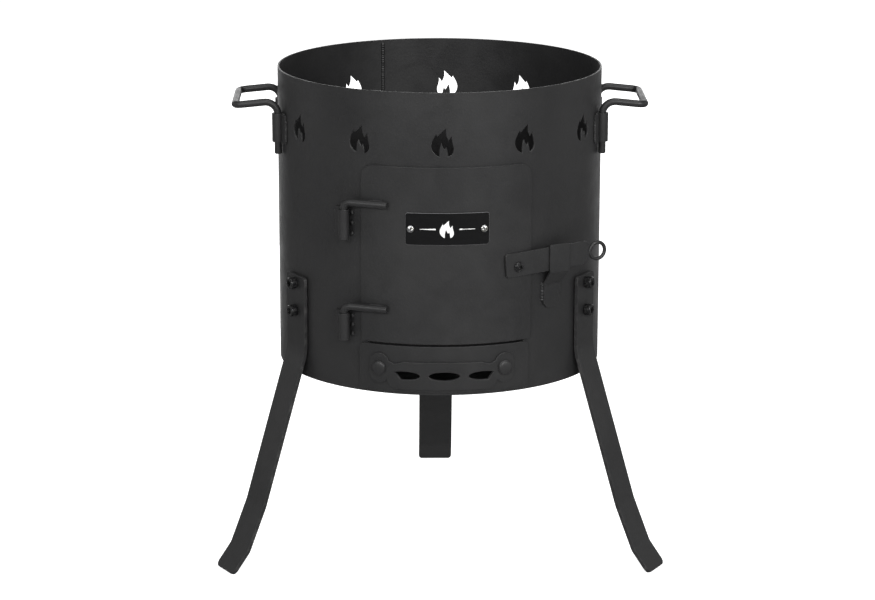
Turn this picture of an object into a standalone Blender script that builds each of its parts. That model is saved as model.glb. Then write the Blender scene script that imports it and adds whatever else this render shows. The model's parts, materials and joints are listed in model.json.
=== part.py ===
"""Kettle stove: a rolled sheet-steel fire drum on three bolted legs, with a hinged fire door,
a drop latch, an air damper, two lift-out carry handles and a loose fire grate.

Blender 4.5, metres, +Z up. The front (the door) faces -Y. The origin is on the ground, under the
middle of the footprint; the drum's own axis stands at y = AXIS_Y. An azimuth is an angle in
degrees round the drum from the front, positive towards +X.
"""
import math
from bisect import bisect_right

import bmesh
import bpy
from mathutils import Matrix, Vector

# ---------------------------------------------------------------- driving dimensions, in metres
DRUM_R = 0.180            # outside of the drum wall
WALL = 0.002              # drum, door and panel sheet
DRUM_TOP = 0.5437
DRUM_BOTTOM = 0.2131
AXIS_Y = -0.0466          # the drum's axis, from the middle of the footprint
GAP = 0.0003              # left between pieces that touch
MERGE = 1e-6
FACET_DEG = 3.75          # one flat of the faceted drum
SEAM_FLAT = 53            # the wall's weld seam stands at this many flats from the front

FLAME_PITCH_DEG = 29.35
FLAME_Z = 0.4750          # foot of the flame cut-outs
FLAME_FIRST, FLAME_LAST = -5, 6

DOOR_DEG = (-28.5, 31.8)
DOOR_Z = (0.2700, 0.4637)
DOORWAY_DEG = (-27.5, 30.8)
DOORWAY_Z = (0.2665, 0.4570)
DOOR_CORNER = 0.014

PANEL_DEG = (-29.3, 31.0)
PANEL_Z = (0.2165, 0.2675)
AIRWAY_DEG = (-24.7, 24.7)
AIRWAY_Z = (0.2230, 0.2595)
VENT_Z = 0.2350
VENT_HALF_HEIGHT = 0.0046
VENT_HALF_DEG = 5.25
VENT_STEPS = 20
# Each vent: its middle, its outer side, and where its ellipse starts and ends, round from that side.
VENTS = ((0.75, 1, 0, 360), (-12.75, -1, 50, 282), (14.25, 1, 50, 287))
EAR_DEG = 21.6            # the damper's bolts
EAR_Z = 0.2420
DAMPER_TRAVEL = 0.010

HINGE_DEG, HINGE_R = -33.5, 0.1908
HINGE_ARM_DEG = -21.6     # the drum's tangent that the hinge arms lie along
HINGE_ARM_LENGTH = 0.050
HINGE_SLEEVES = {"upper": (0.3815, 0.4144), "lower": (0.2705, 0.3000)}
HINGE_ARM_RISE = 0.0078   # from a sleeve's top to its arm's centre line
ROD_R = 0.004             # hinge pins and carry handles
SLEEVE_R, SLEEVE_BORE_R = 0.006, 0.0044

PLATE_DEG, PLATE_Z = 1.7, 0.3975
PLATE_SIZE = (0.0890, 0.0350)
PLATE_SCREW_DEG = 12.3

LATCH_DEG, LATCH_Z = 26.2, 0.3523
LATCH_TILT_DEG = 3.3
LEVER_BACK, LEVER_FRONT = -0.0148, 0.0872
LEVER_LOW, LEVER_HIGH = -0.0107, 0.0153
LEVER_THICK = 0.003
RING_OUT, RING_R, RING_WIRE_R = 0.0985, 0.0091, 0.0020
CATCH_DEG = 41.0
CATCH_WIDTH = 0.024
CATCH_THICK = 0.0025
CATCH_FOOT_Z, CATCH_BENDS_Z, CATCH_TOP_Z = 0.3010, (0.3270, 0.3422), 0.3728

LEG_AZIMUTHS = {"left": -60.0, "right": 60.0, "rear": 180.0}
LEG_WIDTH, LEG_THICK = 0.040, 0.004
LEG_PATH = ((0.2762, 0.0), (0.2568, 0.0240), (0.2362, 0.0720), (0.1823, 0.2420), (0.1823, 0.3260))
LEG_BEND_R = (0.020, 0.060, 0.060)
LEG_BOLT_Z = {"lower": 0.2860, "upper": 0.3170}

HANDLE_X, HANDLE_HALF_SPAN = 0.1783, 0.0475
HANDLE_FOOT_Z, HANDLE_ARM_Z, HANDLE_END_Z, HANDLE_END_X = 0.4525, 0.5113, 0.5066, 0.2254
HANDLE_SLEEVE_Z = (0.4660, 0.4978)

FLOOR_Z, FLOOR_THICK = 0.2155, 0.002
GRATE_R, GRATE_Z, GRATE_THICK = 0.1640, 0.2583, 0.003
GRATE_SLOT_PITCH, GRATE_SLOT_WIDTH, GRATE_ROWS = 0.020, 0.008, 15
LUG_AZIMUTHS = {"left": -75.0, "right": 75.0, "rear": 180.0}
LUG_WIDTH, LUG_THICK, LUG_TALL, LUG_REACH = 0.020, 0.003, 0.018, 0.022

# fasteners: shank radius, hole radius, head radius, head height, nut across flats, nut thickness
M8_SOCKET = {"shank": 0.0040, "hole": 0.0044, "head": 0.0065, "high": 0.0080, "flats": 0.013, "nut": 0.0065}
M6_DOME = {"shank": 0.0030, "hole": 0.0034, "head": 0.0080, "high": 0.0032, "flats": 0.010, "nut": 0.0050}
M6_BUTTON = {"shank": 0.0030, "hole": 0.0034, "head": 0.0055, "high": 0.0033, "flats": 0.010, "nut": 0.0050}
M4_DOME = {"shank": 0.0019, "hole": 0.0022, "head": 0.0039, "high": 0.0022, "flats": 0.007, "nut": 0.0032}

AXIS = Vector((0.0, AXIS_Y, 0.0))
UP = Vector((0.0, 0.0, 1.0))


# ---------------------------------------------------------------- scene, materials, placing
for leftover in list(bpy.data.objects):
    bpy.data.objects.remove(leftover)

PARTS = bpy.data.collections.new("kettle_stove")
bpy.context.scene.collection.children.link(PARTS)


def material(name, colour, roughness, metallic):
    """A plain Principled material."""
    made = bpy.data.materials.new(name)
    made.use_nodes = True
    shader = made.node_tree.nodes["Principled BSDF"]
    shader.inputs["Base Color"].default_value = (*colour, 1.0)
    shader.inputs["Roughness"].default_value = roughness
    shader.inputs["Metallic"].default_value = metallic
    return made


FINISHES = {
    "coated": ((0.030, 0.030, 0.032), 0.48, 0.0),
    "plate": ((0.008, 0.008, 0.009), 0.25, 0.0),
    "zinc": ((0.55, 0.56, 0.57), 0.30, 1.0),
    "black_bolt": ((0.020, 0.020, 0.021), 0.40, 0.6),
    "grate": ((0.040, 0.038, 0.036), 0.70, 0.5),
}


def finish(obj, look):
    """Give an object its own material in one of the finishes, and shade it smooth but for its edges."""
    obj.data.materials.append(material(obj.name, *FINISHES[look]))
    obj.data.shade_smooth()
    obj.data.set_sharp_from_angle(angle=math.radians(30))


def pivot(name, place):
    """An empty on a joint's axis, which the pieces that move about it are parented to."""
    empty = bpy.data.objects.new(name, None)
    empty.location = place
    PARTS.objects.link(empty)
    return empty


def add(name, bm, look, matrix=Matrix(), parent=None):
    """A named piece from a bmesh, at a place in the world, under its joint's empty if it has one."""
    mesh = bpy.data.meshes.new(name)
    if parent is not None and matrix == Matrix():
        bmesh.ops.translate(bm, verts=bm.verts, vec=-parent.location)
        matrix = Matrix.Translation(parent.location)
    bm.to_mesh(mesh)
    bm.free()
    obj = bpy.data.objects.new(name, mesh)
    PARTS.objects.link(obj)
    if parent is not None:
        obj.parent = parent
        matrix = Matrix.Translation(-parent.location) @ matrix
    obj.matrix_basis = matrix
    finish(obj, look)
    return obj


# ---------------------------------------------------------------- directions round the drum
def outward(azimuth):
    """The way out of the drum at an azimuth."""
    angle = math.radians(azimuth)
    return Vector((math.sin(angle), -math.cos(angle), 0.0))


def along(azimuth):
    """The way round the drum at an azimuth."""
    angle = math.radians(azimuth)
    return Vector((math.cos(angle), math.sin(angle), 0.0))


def at(azimuth, radius, height):
    """A point by azimuth, distance from the drum's axis, and height."""
    return AXIS + radius * outward(azimuth) + height * UP


def columns(x, y, z, place):
    """A matrix from three axes and a place."""
    return Matrix.Translation(place) @ Matrix((x, y, z)).transposed().to_4x4()


def facing(azimuth, radius, height, tilt=0.0):
    """Local x runs round the drum, y up and z outward, turned by tilt degrees about z."""
    frame = columns(along(azimuth), UP, outward(azimuth), at(azimuth, radius, height))
    return frame @ Matrix.Rotation(math.radians(tilt), 4, "Z")


def standing(azimuth, radius, height):
    """Local x runs round the drum, y outward and z down, for outlines extruded along the axis."""
    return columns(along(azimuth), outward(azimuth), -UP, at(azimuth, radius, height))


# ---------------------------------------------------------------- outlines
def arc(centre, radius, start, end, steps):
    """Points on an arc, from start to end in degrees, both included."""
    angles = (math.radians(start + (end - start) * i / steps) for i in range(steps + 1))
    return [(centre[0] + radius * math.cos(a), centre[1] + radius * math.sin(a)) for a in angles]


def circle(centre, radius, sides=16):
    """A closed circle."""
    return arc(centre, radius, 0, 360, sides)[:-1]


def rounded(low, high, radii, steps=4):
    """A rectangle with its own radius at each corner: bottom left, bottom right, top right, top left."""
    corners = (low, (high[0], low[1]), high, (low[0], high[1]))
    inward = ((1, 1), (-1, 1), (-1, -1), (1, -1))
    points = []
    for number, ((x, y), (right, up), radius) in enumerate(zip(corners, inward, radii)):
        start = 180 + 90 * number
        points += arc((x + right * radius, y + up * radius), radius, start, start + 90, steps)
    return points


def slot(centre, half_length, half_width, steps=3):
    """A horizontal slot with round ends."""
    reach = half_length - half_width
    right = arc((centre[0] + reach, centre[1]), half_width, -90, 90, steps)
    left = arc((centre[0] - reach, centre[1]), half_width, 90, 270, steps)
    return right + left


def curved_sides(corners, steps):
    """A closed outline of corners joined by quadratic curves: (corner, control point) in order."""
    points = []
    for (start, control), (end, _) in zip(corners, corners[1:] + corners[:1]):
        for i in range(steps):
            t = i / steps
            weighted = list(zip(((1 - t) ** 2, 2 * t * (1 - t), t ** 2), (start, control, end)))
            points.append(tuple(sum(weight * point[k] for weight, point in weighted) for k in (0, 1)))
    return points


def moved(points, x, y, scale=1.0):
    """An outline scaled, then moved."""
    return [(x + scale * px, y + scale * py) for px, py in points]


def flat_x(azimuth):
    """Where an azimuth lies on the unrolled drum."""
    return math.radians(azimuth) * DRUM_R


# A flame, in millimetres from the middle of its foot: each corner with the control point after it.
FLAME = (
    ((3.7, 30.5), (2.35, 23.2)), ((6.4, 17.2), (7.5, 19.8)), ((9.75, 22.0), (9.2, 17.6)),
    ((11.7, 10.8), (12.95, 2.6)), ((6.0, 0.0), (5.85, 5.3)), ((3.9, 10.6), (3.1, 9.0)),
    ((2.35, 7.8), (-0.1, 10.6)), ((-1.0, 14.6), (-3.75, 10.7)), ((-3.5, 0.0), (-12.05, 4.1)),
    ((-12.0, 12.6), (-11.2, 17.8)), ((-6.4, 24.6), (-6.3, 23.2)), ((-5.5, 21.8), (-2.3, 25.2)),
)
MM = 0.001


def vents(grow):
    """The three vent holes: ellipses, the outer two cut off on a slant at their outer ends."""
    wide, tall = flat_x(VENT_HALF_DEG) + grow, VENT_HALF_HEIGHT + grow
    shapes = []
    for middle, side, start, end in VENTS:
        turns = [math.radians(start + (end - start) * i / VENT_STEPS) for i in range(VENT_STEPS + 1)]
        if end - start == 360:
            turns.pop()
        middle_x = flat_x(middle)
        shapes.append([(middle_x + side * wide * math.cos(t), VENT_Z + tall * math.sin(t)) for t in turns])
    return shapes


# ---------------------------------------------------------------- solids
def evaluated_bmesh(obj):
    """An object's evaluated shape as a bmesh with its loose seams merged; the object is removed."""
    bpy.context.scene.collection.objects.link(obj)
    graph = bpy.context.evaluated_depsgraph_get()
    mesh = bpy.data.meshes.new_from_object(obj.evaluated_get(graph))
    bm = bmesh.new()
    bm.from_mesh(mesh)
    bmesh.ops.remove_doubles(bm, verts=bm.verts, dist=MERGE)
    bpy.data.objects.remove(obj)
    bpy.data.meshes.remove(mesh)
    return bm


def flat_solid(outline, holes, thickness):
    """A flat outline with holes in it, as a solid centred on local z = 0."""
    curve = bpy.data.curves.new("outline", "CURVE")
    curve.dimensions = "2D"
    curve.fill_mode = "BOTH"
    curve.extrude = thickness / 2
    for loop in (outline, *holes):
        spline = curve.splines.new("POLY")
        spline.points.add(len(loop) - 1)
        for point, (x, y) in zip(spline.points, loop):
            point.co = (x, y, 0.0, 1.0)
        spline.use_cyclic_u = True
    return evaluated_bmesh(bpy.data.objects.new("outline", curve))


def bend(bm, run, stations, bases, offsets, sideways):
    """Bend a flat solid. Its run axis (0 is x, 1 is y) passes the stations, each with a point of the
    bent middle surface, the way out of it, and the way that the solid's other axis lies there."""
    normal = Vector((1.0, 0.0, 0.0)) if run == 0 else Vector((0.0, 1.0, 0.0))
    for station in stations[1:-1]:
        everything = bm.verts[:] + bm.edges[:] + bm.faces[:]
        plane = {"plane_co": normal * station, "plane_no": normal, "dist": MERGE / 10}
        bmesh.ops.bisect_plane(bm, geom=everything, **plane)
    for vert in bm.verts:
        distance, side, out = vert.co[run], vert.co[1 - run], vert.co.z
        i = min(max(bisect_right(stations, distance) - 1, 0), len(stations) - 2)
        t = (distance - stations[i]) / (stations[i + 1] - stations[i])
        start, end = (bases[k] + out * offsets[k] + side * sideways[k] for k in (i, i + 1))
        vert.co = start.lerp(end, t)


def merge_flats(bm):
    """Join the faces that lie in one plane."""
    bmesh.ops.dissolve_limit(bm, angle_limit=math.radians(0.05), verts=bm.verts, edges=bm.edges)


def drum_sheet(outline, holes, inside, thickness):
    """A sheet rolled round the drum's axis, from an outline drawn on the unrolled drum."""
    bm = flat_solid(outline, holes, thickness)
    flat = flat_x(FACET_DEG)
    first = math.floor(min(x for x, _ in outline) / flat + MERGE)
    last = math.ceil(max(x for x, _ in outline) / flat - MERGE)
    ends = (first * flat, last * flat)
    if last - first == round(360 / FACET_DEG):
        caps = [f for f in bm.faces if any(all(abs(v.co.x - end) < MERGE for v in f.verts) for end in ends)]
        bmesh.ops.delete(bm, geom=caps, context="FACES_ONLY")
    turns = [number * FACET_DEG for number in range(first, last + 1)]
    middle = inside + thickness / 2
    bases = [at(turn, middle, 0.0) for turn in turns]
    bend(bm, 0, [flat_x(turn) for turn in turns], bases, [outward(turn) for turn in turns], [UP] * len(turns))
    bmesh.ops.remove_doubles(bm, verts=bm.verts, dist=MERGE)
    merge_flats(bm)
    return bm


def fillet(points, radii, steps):
    """A polyline with its inner corners rounded, as 3-D vectors."""
    points = [Vector(p) for p in points]
    path = [points[0]]
    for before, corner, after, radius in zip(points, points[1:], points[2:], radii):
        back, ahead = (before - corner).normalized(), (after - corner).normalized()
        half = back.angle(ahead) / 2
        reach = radius / math.tan(half)
        centre = corner + (back + ahead).normalized() * radius / math.sin(half)
        start, end = corner + back * reach - centre, corner + ahead * reach - centre
        for i in range(steps + 1):
            path.append(centre + radius * start.slerp(end, i / steps).normalized())
    return path + [points[-1]]


def bent_strip(azimuth, path, outline, holes, thickness, twist=0.0):
    """A flat strip bent along a path of (radius, height) points, which runs upwards. A twisted strip
    turns by twist degrees about the vertical, in step with how far the path has moved outward."""
    points = [Vector((radius, height)) for radius, height in path]
    steps = [b - a for a, b in zip(points, points[1:])]
    stations = [0.0]
    for step in steps:
        stations.append(stations[-1] + step.length)
    normals = [Vector((step.y, -step.x)).normalized() for step in steps]
    mitres = [normals[0]]
    for one, other in zip(normals, normals[1:]):
        both = (one + other).normalized()
        mitres.append(both / both.dot(one))
    mitres.append(normals[-1])
    bases = [at(azimuth, point.x, point.y) for point in points]
    reach = points[-1].x - points[0].x
    facings = [azimuth + twist * (point.x - points[0].x) / reach for point in points]
    offsets = [outward(facing) * mitre.x + UP * mitre.y for facing, mitre in zip(facings, mitres)]
    bm = flat_solid(outline, holes, thickness)
    bend(bm, 1, stations, bases, offsets, [along(facing) for facing in facings])
    merge_flats(bm)
    return bm


def path_length(path):
    """The length of a polyline."""
    return sum((b - a).length for a, b in zip(path, path[1:]))


def rod(points, radius):
    """A round bar along a 3-D polyline."""
    curve = bpy.data.curves.new("rod", "CURVE")
    curve.dimensions = "3D"
    curve.bevel_depth = radius
    curve.bevel_resolution = 4
    curve.use_fill_caps = True
    spline = curve.splines.new("POLY")
    spline.points.add(len(points) - 1)
    for knot, point in zip(spline.points, points):
        knot.co = (*point, 1.0)
    return evaluated_bmesh(bpy.data.objects.new("rod", curve))


def turned(name, profile, look, matrix, parent=None, steps=16):
    """A turned piece: its half profile runs from the top of the axis down to the bottom of it."""
    bm = bmesh.new()
    verts = [bm.verts.new((radius, 0.0, height)) for radius, height in profile]
    for a, b in zip(verts, verts[1:]):
        bm.edges.new((a, b))
    obj = add(name, bm, look, matrix, parent)
    screw = obj.modifiers.new("turn", "SCREW")
    screw.steps = screw.render_steps = steps
    screw.use_merge_vertices = True
    screw.merge_threshold = MERGE
    screw.use_smooth_shade = True
    return obj


def bolt(name, size, length, look, matrix, parent=None, recess=0.0, domed=False):
    """A bolt whose head stands on local z = 0 and whose shank runs down from it."""
    head, high, shank = size["head"], size["high"], size["shank"]
    chamfer = shank / 6
    top = [(0.0, high)]
    if recess:
        top = [(0.0, high / 2), (recess, high / 2), (recess, high)]
    if domed:
        rise = 0.6 * high
        turns = [math.radians(degrees) for degrees in (35, 60, 80)]
        top += [(head * math.sin(a), high - rise + rise * math.cos(a)) for a in turns]
        top += [(head, high - rise)]
    else:
        top += [(head - chamfer, high), (head, high - chamfer)]
    tail = [(head, 0.0), (shank, 0.0), (shank, chamfer - length), (shank - chamfer, -length), (0.0, -length)]
    return turned(name, top + tail, look, matrix, parent)


def nut(name, size, look, matrix, parent=None):
    """A hexagon nut whose outer face is at local z = 0, with the rest below it."""
    corner = size["flats"] / 2 / math.cos(math.radians(30))
    bm = flat_solid(circle((0, 0), corner, 6), [circle((0, 0), size["shank"] + GAP, 12)], size["nut"])
    bmesh.ops.translate(bm, verts=bm.verts, vec=(0, 0, -size["nut"] / 2))
    merge_flats(bm)
    return add(name, bm, look, matrix, parent)


# ---------------------------------------------------------------- drum, floor and grate
def build_drum():
    """The rolled wall with its flame cut-outs, doorway, airway and bolt holes."""
    seam = flat_x(SEAM_FLAT * FACET_DEG)
    start = seam - flat_x(360)
    outline = [(start, DRUM_BOTTOM), (seam, DRUM_BOTTOM), (seam, DRUM_TOP), (start, DRUM_TOP)]
    flame = curved_sides(list(FLAME), 3)
    holes = [
        moved(flame, flat_x(number * FLAME_PITCH_DEG), FLAME_Z, MM)
        for number in range(FLAME_FIRST, FLAME_LAST + 1)
    ]
    openings = ((DOORWAY_DEG, DOORWAY_Z, 0.009), (AIRWAY_DEG, AIRWAY_Z, 0.003))
    for (left, right), (low, high), radius in openings:
        holes.append(rounded((flat_x(left), low), (flat_x(right), high), (radius,) * 4, 3))
    for azimuth in LEG_AZIMUTHS.values():
        holes += [circle((flat_x(azimuth), height), M8_SOCKET["hole"], 12) for height in LEG_BOLT_Z.values()]
    add("drum_shell", drum_sheet(outline, holes, DRUM_R - WALL, WALL), "coated")


def build_floor():
    """The welded floor, whose flats stand parallel to the wall's."""
    inside = DRUM_R - WALL - 1.2 * GAP
    disc = flat_solid(circle((0, 0), inside, round(360 / FACET_DEG)), [], FLOOR_THICK)
    merge_flats(disc)
    quarter = columns(outward(0), along(0), UP, AXIS + (FLOOR_Z + FLOOR_THICK / 2) * UP)
    add("floor_plate", disc, "coated", quarter)


def build_grate():
    """The loose punched grate and the three angle lugs that it rests on."""
    margin = 0.014
    holes = []
    for row in range(GRATE_ROWS):
        y = (row - (GRATE_ROWS - 1) / 2) * GRATE_SLOT_PITCH
        half = math.sqrt((GRATE_R - margin) ** 2 - y ** 2)
        bridge = 0.007
        reach = (half - bridge) / 2
        holes += [slot((side * (bridge + reach), y), reach, GRATE_SLOT_WIDTH / 2) for side in (-1, 1)]
    bm = flat_solid(circle((0, 0), GRATE_R, 72), holes, GRATE_THICK)
    merge_flats(bm)
    lift = pivot("grate_lift", AXIS + GRATE_Z * UP)
    add("fire_grate", bm, "grate", Matrix.Translation(lift.location + GRATE_THICK / 2 * UP), lift)
    top = GRATE_Z - GAP
    wall = DRUM_R - WALL - 2 * GAP
    for name, azimuth in LUG_AZIMUTHS.items():
        outline = [
            (wall, top - LUG_TALL), (wall, top), (wall - LUG_REACH, top), (wall - LUG_REACH, top - LUG_THICK),
            (wall - LUG_THICK, top - LUG_THICK), (wall - LUG_THICK, top - LUG_TALL),
        ]
        profile = columns(outward(azimuth), UP, -along(azimuth), AXIS)
        add("grate_lug_" + name, flat_solid(outline, [], LUG_WIDTH), "coated", profile)


# ---------------------------------------------------------------- legs
def build_legs():
    """Three bent flat-bar legs, each with two socket-head bolts and their nuts."""
    corner, top_corner = 0.007, 0.004
    path = fillet([(radius, height, 0.0) for radius, height in LEG_PATH], LEG_BEND_R, 4)
    length = path_length(path)
    top = LEG_PATH[-1][1]
    half = LEG_WIDTH / 2
    outline = rounded((-half, 0.0), (half, length), (corner, corner, top_corner, top_corner), 3)
    holes = [circle((0.0, length - (top - z)), M8_SOCKET["hole"], 12) for z in LEG_BOLT_Z.values()]
    seat = DRUM_R + GAP + LEG_THICK + GAP
    inner_seat = DRUM_R - WALL - 2 * GAP
    shank = seat - inner_seat + M8_SOCKET["nut"] + 0.0015
    for name, azimuth in LEG_AZIMUTHS.items():
        bm = bent_strip(azimuth, [(p.x, p.y) for p in path], outline, holes, LEG_THICK)
        everything = bm.verts[:] + bm.edges[:] + bm.faces[:]
        ground = {"plane_co": (0, 0, 0), "plane_no": (0, 0, -1), "clear_outer": True}
        cut = bmesh.ops.bisect_plane(bm, geom=everything, **ground)
        rim = [edge for edge in cut["geom_cut"] if isinstance(edge, bmesh.types.BMEdge)]
        bmesh.ops.edgeloop_fill(bm, edges=rim)
        bmesh.ops.recalc_face_normals(bm, faces=bm.faces)
        add("leg_" + name, bm, "coated")
        for level, height in LEG_BOLT_Z.items():
            tag = name + "_" + level
            frame = facing(azimuth, seat, height)
            bolt("leg_bolt_" + tag, M8_SOCKET, shank, "black_bolt", frame, recess=0.0034)
            nut("leg_nut_" + tag, M8_SOCKET, "black_bolt", facing(azimuth, inner_seat, height))


# ---------------------------------------------------------------- door, hinges, name plate
def build_door():
    """The curved door with its hinge pins, blank plate and the latch's pivot, all on one empty."""
    hinge = pivot("door_hinge", at(HINGE_DEG, HINGE_R, 0.0))
    inside = DRUM_R + GAP
    face = inside + WALL
    small = 0.002
    low, high = (flat_x(DOOR_DEG[0]), DOOR_Z[0]), (flat_x(DOOR_DEG[1]), DOOR_Z[1])
    outline = rounded(low, high, (small, small, DOOR_CORNER, DOOR_CORNER), 5)
    screws = {"left": PLATE_DEG - PLATE_SCREW_DEG, "right": PLATE_DEG + PLATE_SCREW_DEG}
    holes = [circle((flat_x(LATCH_DEG), LATCH_Z), M6_BUTTON["hole"], 12)]
    holes += [circle((flat_x(azimuth), PLATE_Z), M4_DOME["hole"], 12) for azimuth in screws.values()]
    add("door_panel", drum_sheet(outline, holes, inside, WALL), "coated", parent=hinge)

    arm_way = along(HINGE_ARM_DEG)
    for name, (low, high) in HINGE_SLEEVES.items():
        arm = at(HINGE_DEG, HINGE_R, high + HINGE_ARM_RISE)
        points = [at(HINGE_DEG, HINGE_R, low + 0.001), arm, arm + arm_way * HINGE_ARM_LENGTH]
        add("hinge_pin_" + name, rod(fillet(points, (0.0075,), 5), ROD_R), "coated", parent=hinge)

    plate_thick = 0.0012
    plate_in = face + GAP
    half_x, half_z = PLATE_SIZE[0] / 2, PLATE_SIZE[1] / 2
    middle = flat_x(PLATE_DEG)
    low, high = (middle - half_x, PLATE_Z - half_z), (middle + half_x, PLATE_Z + half_z)
    outline = rounded(low, high, (0.003,) * 4, 3)
    holes = [circle((flat_x(azimuth), PLATE_Z), M4_DOME["hole"], 12) for azimuth in screws.values()]
    add("name_plate", drum_sheet(outline, holes, plate_in, plate_thick), "plate", parent=hinge)
    seat = plate_in + plate_thick + GAP
    nut_seat = inside - GAP
    for name, azimuth in screws.items():
        length = seat - nut_seat + M4_DOME["nut"] + 0.001
        frame = facing(azimuth, seat, PLATE_Z)
        bolt("plate_screw_" + name, M4_DOME, length, "zinc", frame, hinge, domed=True)
        nut("plate_nut_" + name, M4_DOME, "zinc", facing(azimuth, nut_seat, PLATE_Z), hinge)

    seat = face + GAP + LEVER_THICK + GAP
    length = seat - nut_seat + M6_BUTTON["nut"] + 0.001
    frame = facing(LATCH_DEG, seat, LATCH_Z)
    bolt("latch_pivot_bolt", M6_BUTTON, length, "black_bolt", frame, hinge, recess=0.002, domed=True)
    nut("latch_pivot_nut", M6_BUTTON, "black_bolt", facing(LATCH_DEG, nut_seat, LATCH_Z), hinge)


def drum_drop(distance):
    """How far the drum's round falls away from its tangent at a distance along it."""
    return DRUM_R - math.sqrt(DRUM_R ** 2 - distance ** 2)


def build_hinge_sleeves():
    """Two knuckles rolled from strip, each with a leaf welded to the drum on the side away from the door."""
    base = DRUM_R + GAP - HINGE_R
    thick, leaf = 0.0022, 0.0170
    root = thick - SLEEVE_R
    meet = math.degrees(math.atan2(-math.sqrt(SLEEVE_R ** 2 - root ** 2), root))
    outline = arc((0, 0), SLEEVE_R, meet, 180, 14)
    upper = [(SLEEVE_R, thick), (leaf / 2, thick), (leaf, thick)]
    lower = [(leaf, 0.0), (leaf / 2, 0.0), (-root, 0.0)]
    outline += [(-reach, base + lift - drum_drop(reach)) for reach, lift in upper + lower]
    for name, (low, high) in HINGE_SLEEVES.items():
        bm = flat_solid(outline, [circle((0, 0), SLEEVE_BORE_R)], high - low)
        merge_flats(bm)
        add("hinge_sleeve_" + name, bm, "coated", standing(HINGE_DEG, HINGE_R, (low + high) / 2))


# ---------------------------------------------------------------- latch
def build_latch():
    """The drop lever with its welded finger ring, and the catch that it falls into."""
    middle = DRUM_R + GAP + WALL + GAP + LEVER_THICK / 2
    place = at(LATCH_DEG, middle, LATCH_Z)
    turn = pivot("latch_pivot", place)
    frame = facing(LATCH_DEG, middle, LATCH_Z, LATCH_TILT_DEG)
    outline = rounded((LEVER_BACK, LEVER_LOW), (LEVER_FRONT, LEVER_HIGH), (0.004, 0.011, 0.006, 0.003), 4)
    bm = flat_solid(outline, [circle((0, 0), M6_BUTTON["hole"], 12)], LEVER_THICK)
    merge_flats(bm)
    add("latch_lever", bm, "coated", frame, turn)

    bpy.ops.mesh.primitive_torus_add(
        major_radius=RING_R, minor_radius=RING_WIRE_R, major_segments=24, minor_segments=10
    )
    torus = bpy.context.object
    bm = bmesh.new()
    bm.from_mesh(torus.data)
    bpy.data.objects.remove(torus)
    centre = (LEVER_LOW + LEVER_HIGH) / 2 - 0.0006
    add("latch_ring", bm, "coated", frame @ Matrix.Translation((RING_OUT, centre, 0.0)), turn)

    foot = DRUM_R + GAP + CATCH_THICK / 2
    off_lever = middle + LEVER_THICK / 2 + GAP + CATCH_THICK / 2
    top = off_lever / math.cos(math.radians(CATCH_DEG - LATCH_DEG))
    low_bend, high_bend = CATCH_BENDS_Z
    profile = ((foot, CATCH_FOOT_Z), (foot, low_bend), (top, high_bend), (top, CATCH_TOP_Z))
    path = fillet([(radius, height, 0.0) for radius, height in profile], (0.004, 0.003), 3)
    half, foot_corner, top_corner = CATCH_WIDTH / 2, 0.008, 0.002
    radii = (foot_corner, foot_corner, top_corner, top_corner)
    outline = rounded((-half, 0.0), (half, path_length(path)), radii, 4)
    twist = LATCH_DEG - CATCH_DEG
    bm = bent_strip(CATCH_DEG, [(p.x, p.y) for p in path], outline, [], CATCH_THICK, twist)
    add("latch_catch", bm, "coated")


# ---------------------------------------------------------------- air damper
def build_damper():
    """The panel over the airway, and the damper plate that hangs on two bolts in its slots. At rest the
    vents in both line up; lifted by its travel, the plate covers the panel's."""
    inside = DRUM_R + GAP
    small, corner = 0.002, 0.006
    low, high = (flat_x(PANEL_DEG[0]), PANEL_Z[0]), (flat_x(PANEL_DEG[1]), PANEL_Z[1])
    outline = rounded(low, high, (small, small, corner, corner), 4)
    play = M6_DOME["hole"] - M6_DOME["shank"]
    slot_half = DAMPER_TRAVEL / 2 + M6_DOME["hole"] + play
    upright = [(-y, x) for x, y in slot((0, 0), slot_half, M6_DOME["hole"], 4)]
    slots = [moved(upright, flat_x(side * EAR_DEG), EAR_Z + DAMPER_TRAVEL / 2) for side in (-1, 1)]
    add("air_panel", drum_sheet(outline, vents(0.0) + slots, inside, WALL), "coated")

    plate_in = inside + WALL + GAP
    lift = pivot("air_slide", at(0.0, plate_in, EAR_Z))
    ear_x, ear_r, ear_reach = flat_x(EAR_DEG), 0.0108, 0.0057
    low, high = 0.2195, 0.2503
    right = [(0.0470, low), (0.0525, low + 0.0012), (0.0565, low + 0.0045)]
    right += arc((ear_x, EAR_Z - ear_reach), ear_r, -140, 0, 6)
    right += arc((ear_x, EAR_Z + ear_reach), ear_r, 0, 165, 8)
    right += [(0.0545, high - 0.0011), (0.0500, high - 0.0025), (0.0460, high - 0.0013), (0.0400, high)]
    outline = right + [(-x, z) for x, z in reversed(right)]
    pins = [circle((side * ear_x, EAR_Z), M6_DOME["hole"], 12) for side in (-1, 1)]
    add("air_slider", drum_sheet(outline, vents(0.0002) + pins, plate_in, WALL), "coated", parent=lift)
    seat = plate_in + WALL + GAP
    nut_seat = inside - GAP
    for name, side in (("left", -1), ("right", 1)):
        length = seat - nut_seat + M6_DOME["nut"] + 0.001
        frame = facing(side * EAR_DEG, seat, EAR_Z)
        bolt("slider_bolt_" + name, M6_DOME, length, "black_bolt", frame, lift, domed=True)
        nut("slider_nut_" + name, M6_DOME, "black_bolt", facing(side * EAR_DEG, nut_seat, EAR_Z), lift)


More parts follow.
